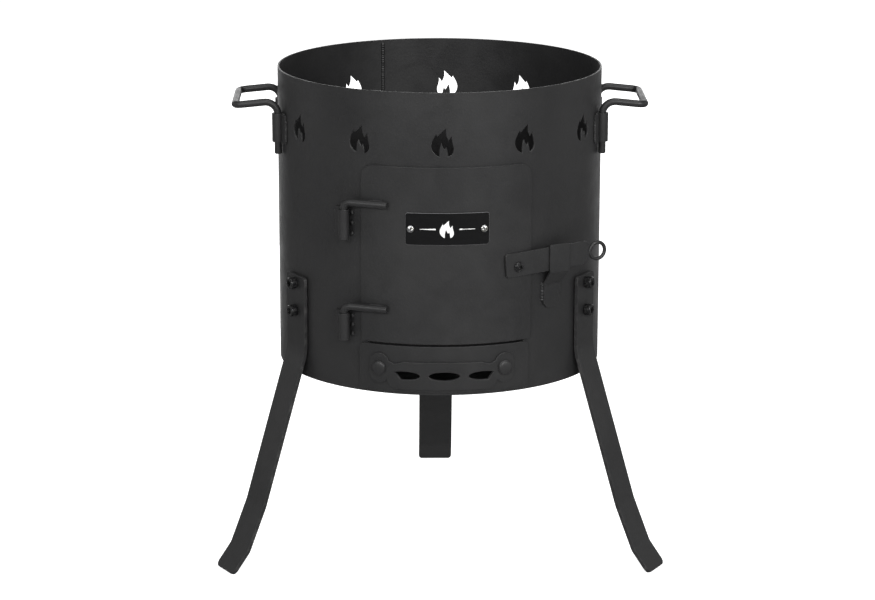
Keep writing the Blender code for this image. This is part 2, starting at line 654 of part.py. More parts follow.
# ---------------------------------------------------------------- carry handles
def build_handles():
    """Two bent-rod handles that drop into four strap knuckles, each a strip bent round the rod."""
    sleeve_radius = math.hypot(HANDLE_X, HANDLE_HALF_SPAN)
    sleeve_turn = math.degrees(math.atan2(HANDLE_X, HANDLE_HALF_SPAN))
    base = DRUM_R + GAP - sleeve_radius
    thick, leaf = 0.0021, 0.0190
    outer = SLEEVE_BORE_R + thick
    crease = math.degrees(math.asin((base + thick) / outer))
    heel = 180 - math.degrees(math.asin(base / outer))
    foot = math.degrees(math.asin(base / SLEEVE_BORE_R))
    knuckle = arc((0, 0), outer, crease, heel, 14) + arc((0, 0), SLEEVE_BORE_R, heel, foot, 14)
    for reach, lift in ((leaf / 2, 0.0), (leaf, 0.0), (leaf, thick), (leaf / 2, thick)):
        knuckle.append((reach, base + lift - drum_drop(reach)))
    low, high = HANDLE_SLEEVE_Z
    for name, side in (("left", -1), ("right", 1)):
        lift = pivot("handle_lift_" + name, AXIS + Vector((side * HANDLE_X, 0.0, high)))
        corners = []
        for end in (-1, 1):
            y = AXIS_Y + end * HANDLE_HALF_SPAN
            bend_points = [
                (side * HANDLE_X, y, HANDLE_FOOT_Z), (side * HANDLE_X, y, HANDLE_ARM_Z),
                (side * HANDLE_END_X, y, HANDLE_END_Z),
            ]
            corners += bend_points if end < 0 else bend_points[::-1]
        path = fillet(corners, (0.0135, 0.0085, 0.0085, 0.0135), 5)
        add("handle_" + name, rod(path, ROD_R), "coated", parent=lift)
        for place, azimuth in (("front", side * sleeve_turn), ("rear", side * (180 - sleeve_turn))):
            mirror = side * (1 if place == "front" else -1)
            shape = [(-mirror * x, y) for x, y in knuckle]
            bm = flat_solid(shape, [], high - low)
            merge_flats(bm)
            frame = standing(azimuth, sleeve_radius, (low + high) / 2)
            add("handle_sleeve_" + name + "_" + place, bm, "coated", frame)


build_drum()
build_floor()
build_grate()
build_legs()
build_door()
build_hinge_sleeves()
build_latch()
build_damper()
build_handles()
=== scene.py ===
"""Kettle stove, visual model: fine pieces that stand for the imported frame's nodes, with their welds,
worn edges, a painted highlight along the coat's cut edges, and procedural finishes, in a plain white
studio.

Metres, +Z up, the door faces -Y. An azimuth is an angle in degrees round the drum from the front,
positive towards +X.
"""
import json
import math
import random
from bisect import bisect_right
from collections import namedtuple

import bmesh
import bpy
from mathutils import Matrix, Vector


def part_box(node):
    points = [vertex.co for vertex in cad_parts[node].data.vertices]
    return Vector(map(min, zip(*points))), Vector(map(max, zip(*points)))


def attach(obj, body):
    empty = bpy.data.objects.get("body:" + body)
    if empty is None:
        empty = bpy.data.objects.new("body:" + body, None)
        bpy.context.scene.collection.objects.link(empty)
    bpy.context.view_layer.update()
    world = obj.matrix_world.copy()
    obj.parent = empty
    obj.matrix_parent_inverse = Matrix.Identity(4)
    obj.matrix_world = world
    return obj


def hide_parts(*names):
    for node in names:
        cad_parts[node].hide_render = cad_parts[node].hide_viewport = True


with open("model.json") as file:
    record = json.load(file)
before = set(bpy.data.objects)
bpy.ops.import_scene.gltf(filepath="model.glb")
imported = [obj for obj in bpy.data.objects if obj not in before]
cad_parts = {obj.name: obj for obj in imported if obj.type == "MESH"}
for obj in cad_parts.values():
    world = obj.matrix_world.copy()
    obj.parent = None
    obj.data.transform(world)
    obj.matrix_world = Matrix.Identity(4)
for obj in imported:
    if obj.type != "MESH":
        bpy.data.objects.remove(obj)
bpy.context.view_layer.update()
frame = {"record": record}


def heights(node):
    """The lowest and highest point of a node of the frame."""
    low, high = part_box(node)
    return low.z, high.z


# ------------ sizes, in metres and degrees
DRUM_LOW, DRUM_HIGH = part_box("drum_shell")
DRUM_R = (DRUM_HIGH.x - DRUM_LOW.x) / 2
AXIS = Vector((0.0, (DRUM_LOW.y + DRUM_HIGH.y) / 2, 0.0))
UP = Vector((0.0, 0.0, 1.0))
WALL = 0.002
GAP = 0.0003              # between pieces that touch
MERGE = 1e-6
EDGE = 0.00035            # rounding of the sheets' cut edges
FINE_EDGE = 0.0004        # the same, of what is thinner or narrower than a sheet
THIN = 0.006              # thinner than this is sheet, its whole cut side marked as edge: worn, and on the coat also a painted highlight; thicker is an extruded outline
FACET_DEG = 2.5
SHARP_DEG = 50            # shading breaks at edges that turn by more
ROUND_SIDES = 144         # of the floor and the grate
SEAM_DEG = 200.8
SEAM_GAP = 0.0004

FLAME_PITCH_DEG = 29.35
FLAME_Z = 0.4750
FLAMES = range(-5, 7)     # numbered from the one over the door, positive towards +X
MM = 0.001
# A flame, in millimetres from the middle of its foot: each corner with the control point after it.
FLAME = [
    ((3.7, 30.5), (2.35, 23.2)), ((6.4, 17.2), (7.5, 19.8)), ((9.75, 22.0), (9.2, 17.6)),
    ((11.7, 10.8), (12.95, 2.6)), ((6.0, 0.0), (5.85, 5.3)), ((3.9, 10.6), (3.1, 9.0)),
    ((2.35, 7.8), (-0.1, 10.6)), ((-1.0, 14.6), (-3.75, 10.7)), ((-3.5, 0.0), (-12.05, 4.1)),
    ((-12.0, 12.6), (-11.2, 17.8)), ((-6.4, 24.6), (-6.3, 23.2)), ((-5.5, 21.8), (-2.3, 25.2)),
]

DOOR_DEG, DOOR_Z = (-28.5, 31.8), heights("door_panel")
DOORWAY_DEG, DOORWAY_Z = (-27.5, 30.8), (0.2665, 0.4570)
DOOR_CORNER, DOORWAY_CORNER = 0.014, 0.009
PANEL_DEG, PANEL_Z = (-29.3, 31.0), heights("air_panel")
AIRWAY_DEG, AIRWAY_Z, AIRWAY_CORNER = (-24.7, 24.7), (0.2230, 0.2595), 0.003
VENT_Z, VENT_HALF_HEIGHT, VENT_HALF_DEG = 0.2350, 0.0046, 5.25
VENT_STEPS = 48
# Each vent: its middle, its outer side, and where its ellipse starts and ends, round from that side.
VENTS = ((0.75, 1, 0, 360), (-12.75, -1, 50, 282), (14.25, 1, 50, 287))
EAR_DEG, EAR_Z = 21.6, 0.2420
DAMPER_Z = (0.2195, 0.2503)
DAMPER_TRAVEL = 0.010
EAR_R, EAR_REACH = 0.0108, 0.0057     # an ear is two arcs, this far over and under its bolt

HINGE_DEG, HINGE_R = -33.5, 0.1908
HINGE_ARM_DEG, HINGE_ARM_LENGTH, HINGE_ARM_RISE = -21.6, 0.050, 0.0078
HINGE_SLEEVE_Z = {level: heights("hinge_sleeve_" + level) for level in ("upper", "lower")}
HINGE_LEAF, HINGE_LEAF_THICK = 0.0170, 0.0022
HINGE_BEND_R = 0.0075
ROD_R, SLEEVE_R, BORE_R = 0.004, 0.006, 0.0044

PLATE_DEG, PLATE_Z, PLATE_SIZE, PLATE_THICK = 1.7, 0.3975, (0.0890, 0.0350), 0.0012
PLATE_CORNER, PLATE_SCREW_DEG = 0.003, {"left": -10.6, "right": 14.0}

LATCH_DEG, LATCH_Z, LATCH_TILT_DEG = 26.2, 0.3523, 3.3
LEVER_LOW, LEVER_HIGH, LEVER_THICK = (-0.0148, -0.0107), (0.0872, 0.0153), 0.003
LEVER_CORNERS = (0.004, 0.011, 0.006, 0.003)
RING_OUT, RING_DROP, RING_R, RING_WIRE_R = 0.0985, 0.0006, 0.0091, 0.0020
CATCH_DEG, CATCH_WIDTH, CATCH_THICK = 41.0, 0.024, 0.0025
CATCH_Z, CATCH_WELD_Z = (0.3010, 0.3270, 0.3422, 0.3728), (0.3080, 0.3290)
CATCH_BEND_R, CATCH_CORNERS = (0.004, 0.003), (0.008, 0.008, 0.002, 0.002)

LEG_AZIMUTHS = {"left": -60.0, "right": 60.0, "rear": 180.0}
LEG_WIDTH, LEG_THICK = 0.040, 0.004
LEG_PATH = ((0.2762, 0.0000), (0.2568, 0.0240), (0.2362, 0.0720), (0.1823, 0.2420), (0.1823, 0.3260))
LEG_BEND_R, LEG_CORNERS = (0.020, 0.060, 0.060), (0.007, 0.007, 0.004, 0.004)
LEG_BOLT_Z = {"lower": 0.2860, "upper": 0.3170}

HANDLE_X, HANDLE_HALF_SPAN, HANDLE_END_X = 0.1783, 0.0475, 0.2254
HANDLE_FOOT_Z, HANDLE_ARM_Z, HANDLE_END_Z = 0.4525, 0.5113, 0.5066
HANDLE_SLEEVE_Z = heights("handle_sleeve_left_front")
HANDLE_LEAF, HANDLE_STRAP = 0.0190, 0.0021
HANDLE_BEND_R = (0.0135, 0.0085, 0.0085, 0.0135)

FLOOR_TOP_Z = heights("floor_plate")[1]
GRATE_R, GRATE_THICK = 0.1640, 0.003
GRATE_Z = heights("fire_grate")[0]
LUG_AZIMUTHS = {"left": -75.0, "right": 75.0, "rear": 180.0}
LUG_WIDTH, LUG_THICK, LUG_TALL, LUG_REACH = 0.020, 0.003, 0.018, 0.022

# fasteners: shank radius, head radius and height, nut across flats and thickness, tip past the nut
Fastener = namedtuple("Fastener", "shank head high flats nut tip")
M8_SOCKET = Fastener(0.0040, 0.0065, 0.0080, 0.0130, 0.0065, 0.0015)
M6_DOME = Fastener(0.0030, 0.0080, 0.0032, 0.0100, 0.0050, 0.0010)
M6_BUTTON = Fastener(0.0030, 0.0055, 0.0033, 0.0100, 0.0050, 0.0010)
M4_PAN = Fastener(0.0019, 0.0039, 0.0022, 0.0070, 0.0032, 0.0010)

# weld beads: the radius of each kind, and how far its axis stands off what it lies on
SEAM_BEADS = {"outside": 0.0007, "inside": 0.0022}
FLOOR_BEAD, LUG_BEAD, HINGE_ARM_BEAD, RING_BEAD, CATCH_BEAD = 0.0019, 0.0018, 0.0014, 0.0017, 0.0028
LEAF_BEAD, BARREL_BEAD, HANDLE_TOP_BEAD = 0.0016, 0.0019, 0.0018
BEAD_LIFT = 0.0008

SIDES = {-1: "left", 1: "right"}
NODE_BODY = {
    node: body for body, nodes in frame["record"]["behaviour"]["bodies"].items() for node in nodes
}


# ------------ finishes
# colours in linear light: the darker, the lighter, and what shows where they are worn; on the coat that
# paler colour is also a painted highlight along the cut edges
COAT_DARK, COAT_LIGHT = (0.0125, 0.0125, 0.0130), (0.0165, 0.0163, 0.0166)
# paler coat: real chips in the specks, and a painted highlight with some wear along the cut edges
COAT_WEAR_AND_EDGE_HIGHLIGHT = (0.034, 0.0335, 0.033)
COAT_ROUGHNESS = (0.40, 0.50)
LACQUER_DARK, LACQUER_LIGHT = (0.0030, 0.0030, 0.0033), (0.0045, 0.0045, 0.0048)
LACQUER_BARE = (0.16, 0.16, 0.165)
OXIDE_DARK, OXIDE_WORN = (0.014, 0.014, 0.015), (0.060, 0.059, 0.058)
ZINC_BLUE, ZINC_YELLOW = (0.56, 0.58, 0.62), (0.64, 0.62, 0.56)
SCALE_THIN, SCALE_THICK = (0.040, 0.038, 0.037), (0.020, 0.021, 0.024)
SCALE_BROWN, SCALE_BARE = (0.060, 0.036, 0.024), (0.20, 0.19, 0.18)
INK_THIN, INK_FULL = (0.62, 0.62, 0.61), (0.78, 0.78, 0.77)
FLOOR_DARK, FLOOR_LIGHT = (0.86, 0.86, 0.86), (0.88, 0.88, 0.88)
FLOOR_GLOW = 0.85


def node(tree, kind, values=(), **settings):
    """A shader node; each value is a number for an input, or an output that is linked to it."""
    made = tree.nodes.new("ShaderNode" + kind)
    for name, value in settings.items():
        setattr(made, name, value)
    for name, value in dict(values).items():
        if isinstance(value, bpy.types.NodeSocket):
            tree.links.new(value, made.inputs[name])
        else:
            made.inputs[name].default_value = value
    return made


def noise(tree, scale, detail=2.0, distortion=0.0, stretch=(1.0, 1.0, 1.0)):
    """Noise fixed to the piece, with features about 1 / scale metres across."""
    place = node(tree, "TexCoord").outputs["Object"]
    place = node(tree, "Mapping", {"Vector": place, "Scale": stretch}).outputs["Vector"]
    values = {"Vector": place, "Scale": scale, "Detail": detail, "Distortion": distortion}
    return node(tree, "TexNoise", values).outputs["Fac"]


def spread(tree, value, low, high, to_low, to_high):
    """A value mapped from one range to another, and kept inside it."""
    values = {"Value": value, "From Min": low, "From Max": high, "To Min": to_low, "To Max": to_high}
    return node(tree, "MapRange", values).outputs["Result"]


def within(tree, noise_value, low, high):
    """Noise mapped to a range, which its usual run from 0.3 to 0.7 fills."""
    return spread(tree, noise_value, 0.3, 0.7, low, high)


def blend(tree, factor, one, other):
    """A colour between two, which are each a tuple or an output."""
    mix = tree.nodes.new("ShaderNodeMix")
    mix.data_type = "RGBA"
    tree.links.new(factor, mix.inputs[0])
    for socket, colour in ((mix.inputs[6], one), (mix.inputs[7], other)):
        if isinstance(colour, bpy.types.NodeSocket):
            tree.links.new(colour, socket)
        else:
            socket.default_value = (*colour, 1.0)
    return mix.outputs[2]


def product(tree, one, other):
    """Two values multiplied."""
    return node(tree, "Math", {0: one, 1: other}, operation="MULTIPLY").outputs[0]


def bumps(tree, *layers):
    """Layers of bump, each (height, depth in metres), one on the other."""
    normal = None
    for height, depth in layers:
        values = {"Height": height, "Distance": depth, "Strength": 1.0}
        if normal is not None:
            values["Normal"] = normal
        normal = node(tree, "Bump", values).outputs["Normal"]
    return normal


def new_material(name, finish, metallic, specular):
    """A Principled material, from a function that makes its colour, roughness and normal."""
    made = bpy.data.materials.new(name)
    made.use_nodes = True
    inputs = made.node_tree.nodes["Principled BSDF"].inputs
    inputs["Metallic"].default_value = metallic
    inputs["Specular IOR Level"].default_value = specular
    for channel, output in zip(("Base Color", "Roughness", "Normal"), finish(made.node_tree)):
        made.node_tree.links.new(output, inputs[channel])
    return made


def edge_mask(tree):
    """How much a point lies on a rounded edge, from the mesh's own attribute."""
    return node(tree, "Attribute", attribute_name="edge").outputs["Fac"]


def coated_steel(tree):
    """Satin black heat-proof coating: a fine grain over a soft ripple, paler along cut edges, which is a
    painted highlight with a little thin, rubbed coat.
    """
    colour = blend(tree, within(tree, noise(tree, 11.0, 3.0), 0.0, 1.0), COAT_DARK, COAT_LIGHT)
    # paler cut edges: a painted highlight, with a little thin, rubbed coat
    rubbed_and_highlit_edges = product(tree, edge_mask(tree), spread(tree, noise(tree, 130.0, 3.0), 0.50, 0.70, 0.0, 1.0))
    colour = blend(tree, rubbed_and_highlit_edges, colour, COAT_WEAR_AND_EDGE_HIGHLIGHT)
    specks = spread(tree, noise(tree, 2100.0, 1.0), 0.66, 0.74, 0.0, 0.5)
    colour = blend(tree, specks, colour, COAT_WEAR_AND_EDGE_HIGHLIGHT)
    grain = noise(tree, 1500.0, 2.0)
    ripple = noise(tree, 330.0, 2.0)
    hand_marks = spread(tree, noise(tree, 38.0, 5.0, 0.8), 0.35, 0.7, *COAT_ROUGHNESS)
    return colour, hand_marks, bumps(tree, (ripple, 0.00010), (grain, 0.00006))


def plate_black(tree):
    """Glossy black lacquer with hairline wiping marks, bare at the very edge."""
    wipes = noise(tree, 60.0, 4.0, 0.3, (1.0, 1.0, 22.0))
    colour = blend(tree, wipes, LACQUER_DARK, LACQUER_LIGHT)
    colour = blend(tree, edge_mask(tree), colour, LACQUER_BARE)
    roughness = within(tree, wipes, 0.34, 0.40)
    return colour, roughness, bumps(tree, (noise(tree, 400.0), 0.00002))


def black_steel(tree):
    """Black oxide on the socket screws and nuts: dark, oily, with paler worn patches."""
    patches = spread(tree, noise(tree, 420.0, 4.0), 0.45, 0.75, 0.0, 1.0)
    colour = blend(tree, patches, OXIDE_DARK, OXIDE_WORN)
    roughness = within(tree, noise(tree, 900.0, 3.0), 0.22, 0.36)
    return colour, roughness, bumps(tree, (noise(tree, 1700.0, 3.0), 0.00003))


def zinc_steel(tree):
    """Bright zinc plating with a faint blue and yellow cast and a fine crystalline grain."""
    colour = blend(tree, within(tree, noise(tree, 240.0, 2.0), 0.0, 1.0), ZINC_BLUE, ZINC_YELLOW)
    roughness = within(tree, noise(tree, 1400.0, 3.0), 0.22, 0.42)
    return colour, roughness, bumps(tree, (noise(tree, 2600.0, 2.0), 0.00002))


def grate_steel(tree):
    """Bare hot-rolled steel with mill scale, darker and browner in clouds, pale along its cut edges."""
    scale_cover = spread(tree, noise(tree, 34.0, 5.0, 0.6), 0.35, 0.65, 0.0, 1.0)
    colour = blend(tree, scale_cover, SCALE_THIN, SCALE_THICK)
    brown = spread(tree, noise(tree, 75.0, 5.0), 0.60, 0.80, 0.0, 0.55)
    colour = blend(tree, brown, colour, SCALE_BROWN)
    colour = blend(tree, product(tree, edge_mask(tree), noise(tree, 300.0)), colour, SCALE_BARE)
    roughness = within(tree, noise(tree, 260.0, 4.0), 0.46, 0.70)
    return colour, roughness, bumps(tree, (noise(tree, 700.0, 4.0), 0.00008))


def print_white(tree):
    """Screen-printed white ink, slightly uneven."""
    cover = noise(tree, 900.0, 3.0)
    roughness = within(tree, cover, 0.40, 0.55)
    return blend(tree, cover, INK_THIN, INK_FULL), roughness, bumps(tree, (cover, 0.00001))


def studio_white(tree):
    """The floor: matt white, with a very faint unevenness."""
    colour = blend(tree, noise(tree, 1.5, 2.0), FLOOR_DARK, FLOOR_LIGHT)
    roughness = within(tree, noise(tree, 3.0), 0.85, 0.95)
    return colour, roughness, bumps(tree, (noise(tree, 400.0), 0.0001))


# Each finish: how it is made, how metallic it is, and its specular level.
FINISHES = {
    "coated_steel": (coated_steel, 0.0, 0.5),
    "plate_black": (plate_black, 0.0, 0.22),
    "black_steel": (black_steel, 0.55, 0.5),
    "zinc_steel": (zinc_steel, 1.0, 0.5),
    "grate_steel": (grate_steel, 0.5, 0.5),
    "print_white": (print_white, 0.0, 0.5),
}
MATERIALS = {name: new_material(name, *finish) for name, finish in FINISHES.items()}


# ------------ directions round the drum
def outward(azimuth):
    """The way out of the drum at an azimuth."""
    angle = math.radians(azimuth)
    return Vector((math.sin(angle), -math.cos(angle), 0.0))


def along(azimuth):
    """The way round the drum at an azimuth."""
    angle = math.radians(azimuth)
    return Vector((math.cos(angle), math.sin(angle), 0.0))


def at(azimuth, radius, height):
    """A point by azimuth, distance from the drum's axis, and height."""
    return AXIS + radius * outward(azimuth) + height * UP


def columns(x, y, z, place):
    """A matrix from three axes and a place."""
    return Matrix.Translation(place) @ Matrix((x, y, z)).transposed().to_4x4()


def facing(azimuth, radius, height, tilt=0.0):
    """Local x runs round the drum, y up and z outward, turned by tilt degrees about z."""
    place = columns(along(azimuth), UP, outward(azimuth), at(azimuth, radius, height))
    return place @ Matrix.Rotation(math.radians(tilt), 4, "Z")


def standing(azimuth, radius, height):
    """Local x runs round the drum, y outward and z down, for outlines extruded along the axis."""
    return columns(along(azimuth), outward(azimuth), -UP, at(azimuth, radius, height))


def flat_x(azimuth):
    """Where an azimuth lies on the unrolled drum."""
    return math.radians(azimuth) * DRUM_R


# ------------ outlines
def arc(centre, radius, start, end, steps):
    """Points on an arc, from start to end in degrees, both included."""
    angles = (math.radians(start + (end - start) * i / steps) for i in range(steps + 1))
    return [(centre[0] + radius * math.cos(a), centre[1] + radius * math.sin(a)) for a in angles]


def circle(centre, radius, sides=36):
    """A closed circle."""
    return arc(centre, radius, 0, 360, sides)[:-1]


def rounded(low, high, radii, steps=8):
    """A rectangle with its own radius at each corner: bottom left, bottom right, top right, top left."""
    corners = (low, (high[0], low[1]), high, (low[0], high[1]))
    inward = ((1, 1), (-1, 1), (-1, -1), (1, -1))
    points = []
    for number, ((x, y), (right, up), radius) in enumerate(zip(corners, inward, radii)):
        start = 180 + 90 * number
        points += arc((x + right * radius, y + up * radius), radius, start, start + 90, steps)
    return points


def drum_rectangle(degrees, levels, radii):
    """A rounded rectangle on the unrolled drum, between two azimuths and two heights."""
    (left, right), (foot, top) = degrees, levels
    return rounded((flat_x(left), foot), (flat_x(right), top), radii)


def slot(centre, half_length, half_width, steps=10):
    """A horizontal slot with round ends."""
    reach = half_length - half_width
    right = arc((centre[0] + reach, centre[1]), half_width, -90, 90, steps)
    left = arc((centre[0] - reach, centre[1]), half_width, 90, 270, steps)
    return right + left


def curved_sides(corners, steps):
    """A closed outline of corners joined by quadratic curves: (corner, control point) in order."""
    points = []
    for (start, control), (end, _) in zip(corners, corners[1:] + corners[:1]):
        for i in range(steps):
            t = i / steps
            weighted = list(zip(((1 - t) ** 2, 2 * t * (1 - t), t ** 2), (start, control, end)))
            points.append(tuple(sum(weight * point[k] for weight, point in weighted) for k in (0, 1)))
    return points


def moved(points, x, y, scale=1.0):
    """An outline scaled, then moved."""
    return [(x + scale * px, y + scale * py) for px, py in points]


def vents(grow):
    """The three vent holes: ellipses, the outer two cut off on a slant at their outer ends."""
    wide, tall = flat_x(VENT_HALF_DEG) + grow, VENT_HALF_HEIGHT + grow
    shapes = []
    for middle, side, start, end in VENTS:
        unit = arc((0, 0), 1.0, start, end, VENT_STEPS)
        if end - start == 360:
            unit.pop()
        shapes.append([(flat_x(middle) + side * wide * x, VENT_Z + tall * z) for x, z in unit])
    return shapes


def piece(name, bm, finish, body, replaces=None, matrix=Matrix(), rolled=False):
    """A named visual piece on a body, in one of the finishes, shaded smooth but for its sharp edges.

    A rolled one is part of a cylinder round the drum's axis.
    """
    mesh = bpy.data.meshes.new(name)
    bmesh.ops.transform(bm, matrix=matrix, verts=bm.verts)
    bmesh.ops.recalc_face_normals(bm, faces=bm.faces)
    bm.to_mesh(mesh)
    bm.free()
    obj = bpy.data.objects.new(name, mesh)
    bpy.context.scene.collection.objects.link(obj)
    mesh.materials.append(MATERIALS[finish])
    mesh.shade_smooth()
    mesh.set_sharp_from_angle(angle=math.radians(SHARP_DEG))
    if rolled:
        shade_round(mesh)
    else:
        normals = obj.modifiers.new("normals", "WEIGHTED_NORMAL")
        normals.keep_sharp = True
    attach(obj, body)
    if replaces:
        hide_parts(replaces)


def shade_round(mesh):
    """Give both faces of a rolled sheet the normals of a true cylinder. Its edges keep their own."""
    reach = 0.00006         # more than the facets' sag, less than the rounding of the edges
    outs = [(vert.co - AXIS) * Vector((1.0, 1.0, 0.0)) for vert in mesh.vertices]
    radii = [out.length for out in outs]
    inner, outer = min(radii) + reach, max(radii) - reach
    normals = []
    for polygon in mesh.polygons:
        around = [radii[index] for index in polygon.vertices]
        side = float(min(around) > outer) - float(max(around) < inner)
        normals += [side * outs[index].normalized() for index in polygon.vertices]
    mesh.normals_split_custom_set(normals)


def stand_in(cad_node, bm, matrix=Matrix(), finish="coated_steel", rolled=False):
    """A finer piece shown in place of a node of the frame, on that node's body."""
    piece(cad_node + "_shown", bm, finish, NODE_BODY[cad_node], cad_node, matrix, rolled)


def flat_sheet(outline, holes, thickness, edge=EDGE):
    """A flat sheet centred on local z = 0.

    The layer "edge" marks its rounded edges, and the whole cut side of a thin sheet.
    """
    curve = bpy.data.curves.new("outline", "CURVE")
    curve.dimensions = "2D"
    curve.fill_mode = "BOTH"
    curve.extrude = thickness / 2 - edge
    curve.bevel_depth = edge
    curve.bevel_resolution = 1
    curve.offset = -edge
    for loop in (outline, *holes):
        spline = curve.splines.new("POLY")
        spline.points.add(len(loop) - 1)
        for point, (x, y) in zip(spline.points, loop):
            point.co = (x, y, 0.0, 1.0)
        spline.use_cyclic_u = True
    obj = bpy.data.objects.new("outline", curve)
    bpy.context.scene.collection.objects.link(obj)
    mesh = bpy.data.meshes.new_from_object(obj.evaluated_get(bpy.context.evaluated_depsgraph_get()))
    bm = bmesh.new()
    bm.from_mesh(mesh)
    bmesh.ops.remove_doubles(bm, verts=bm.verts, dist=MERGE)
    bpy.data.objects.remove(obj)
    bpy.data.curves.remove(curve)
    bpy.data.meshes.remove(mesh)
    mark = bm.verts.layers.float.new("edge")
    side = 0.0 if thickness < THIN else thickness / 2 - edge + MERGE
    for vert in bm.verts:
        vert[mark] = float(side <= abs(vert.co.z) < thickness / 2 - MERGE)
    return bm


def bend(bm, run, stations, bases, offsets, sideways):
    """Bend a flat sheet along its run axis, where 0 is x and 1 is y.

    Each station on that axis has a point of the bent middle surface, the way out of it, and the way that
    the sheet's other axis lies there.
    """
    normal = Vector((1.0, 0.0, 0.0)) if run == 0 else Vector((0.0, 1.0, 0.0))
    for station in stations[1:-1]:
        everything = bm.verts[:] + bm.edges[:] + bm.faces[:]
        plane = {"plane_co": normal * station, "plane_no": normal, "dist": MERGE / 10}
        bmesh.ops.bisect_plane(bm, geom=everything, **plane)
    for vert in bm.verts:
        distance, side, out = vert.co[run], vert.co[1 - run], vert.co.z
        i = min(max(bisect_right(stations, distance) - 1, 0), len(stations) - 2)
        t = (distance - stations[i]) / (stations[i + 1] - stations[i])
        start, end = (bases[k] + out * offsets[k] + side * sideways[k] for k in (i, i + 1))
        vert.co = start.lerp(end, t)
    merge_flats(bm)


def merge_flats(bm):
    """Join the faces that lie in one plane."""
    bmesh.ops.dissolve_limit(bm, angle_limit=math.radians(0.05), verts=bm.verts, edges=bm.edges)


def drum_sheet(outline, holes, inside, thickness, edge=EDGE):
    """A sheet rolled round the drum's axis, from an outline drawn on the unrolled drum."""
    bm = flat_sheet(outline, holes, thickness, edge)
    flat = flat_x(FACET_DEG)
    first = math.floor(min(x for x, _ in outline) / flat + MERGE)
    last = math.ceil(max(x for x, _ in outline) / flat - MERGE)
    turns = [number * FACET_DEG for number in range(first, last + 1)]
    bases = [at(turn, inside + thickness / 2, 0.0) for turn in turns]
    stations, offsets = [flat_x(turn) for turn in turns], [outward(turn) for turn in turns]
    bend(bm, 0, stations, bases, offsets, [UP] * len(turns))
    return bm


def fillet(points, radii, steps=12):
    """A polyline with its inner corners rounded, as 3-D vectors.

    A point just off each end of a bend holds the shading of the straight parts.
    """
    hold = 0.0008
    points = [Vector(p) for p in points]
    path = [points[0]]
    for before, corner, after, radius in zip(points, points[1:], points[2:], radii):
        back, ahead = (before - corner).normalized(), (after - corner).normalized()
        half = back.angle(ahead) / 2
        reach = radius / math.tan(half)
        centre = corner + (back + ahead).normalized() * radius / math.sin(half)
        start, end = corner + back * reach - centre, corner + ahead * reach - centre
        path.append(centre + start + back * hold)
        for i in range(steps + 1):
            path.append(centre + radius * start.slerp(end, i / steps).normalized())
        path.append(centre + end + ahead * hold)
    return path + [points[-1]]


def path_length(path):
    """The length of a polyline."""
    return sum((b - a).length for a, b in zip(path, path[1:]))


def resampled(path, step):
    """The points of a polyline with more between them, none further apart than a step."""
    points = [path[0]]
    for a, b in zip(path, path[1:]):
        count = max(1, math.ceil((b - a).length / step))
        points += [a.lerp(b, (i + 1) / count) for i in range(count)]
    return points


def bent_strip(azimuth, path, outline, holes, thickness, twist=0.0):
    """A flat strip bent along a path of (radius, height) points, which runs upwards.

    A twisted strip turns by twist degrees about the vertical, in step with how far the path has moved
    outward.
    """
    points = [Vector((radius, height)) for radius, height in path]
    steps = [b - a for a, b in zip(points, points[1:])]
    stations = [0.0]
    for step in steps:
        stations.append(stations[-1] + step.length)
    normals = [Vector((step.y, -step.x)).normalized() for step in steps]
    mitres = [normals[0]]
    for one, other in zip(normals, normals[1:]):
        both = (one + other).normalized()
        mitres.append(both / both.dot(one))
    mitres.append(normals[-1])
    bases = [at(azimuth, point.x, point.y) for point in points]
    reach = points[-1].x - points[0].x
    facings = [azimuth + twist * (point.x - points[0].x) / reach for point in points]
    offsets = [outward(turn) * mitre.x + UP * mitre.y for turn, mitre in zip(facings, mitres)]
    bm = flat_sheet(outline, holes, thickness)
    bend(bm, 1, stations, bases, offsets, [along(turn) for turn in facings])
    return bm


def tube(path, radii, sides=28, closed=False):
    """A round bar along a polyline, with a radius at each point; an open one has flat ends."""
    bm = bmesh.new()
    count = len(path)
    after = [path[(i + 1) % count] if closed else path[min(i + 1, count - 1)] for i in range(count)]
    before = [path[i - 1] if closed else path[max(i - 1, 0)] for i in range(count)]
    ways = [(b - a).normalized() for a, b in zip(before, after)]
    across = ways[0].orthogonal().normalized()
    rings = []
    for point, way, radius in zip(path, ways, radii):
        across = (across - across.dot(way) * way).normalized()
        other = way.cross(across)
        turns = [2 * math.pi * k / sides for k in range(sides)]
        places = [point + radius * (math.cos(a) * across + math.sin(a) * other) for a in turns]
        rings.append([bm.verts.new(place) for place in places])
    pairs = list(zip(rings, rings[1:]))
    if closed:
        shift = min(range(sides), key=lambda k: (rings[-1][0].co - rings[0][k].co).length)
        pairs.append((rings[-1], rings[0][shift:] + rings[0][:shift]))
    else:
        bm.faces.new(rings[0][::-1])
        bm.faces.new(rings[-1])
    for low, high in pairs:
        for k in range(sides):
            bm.faces.new((low[k], low[k - 1], high[k - 1], high[k]))
    return bm


def bar(corners, bends, radius):
    """A bent round bar with chamfered ends."""
    chamfer = radius / 5
    path = fillet(corners, bends)
    start, end = (path[1] - path[0]).normalized(), (path[-2] - path[-1]).normalized()
    path = [path[0], path[0] + chamfer * start] + path[1:-1] + [path[-1] + chamfer * end, path[-1]]
    return tube(path, [radius - chamfer] + [radius] * (len(path) - 2) + [radius - chamfer])


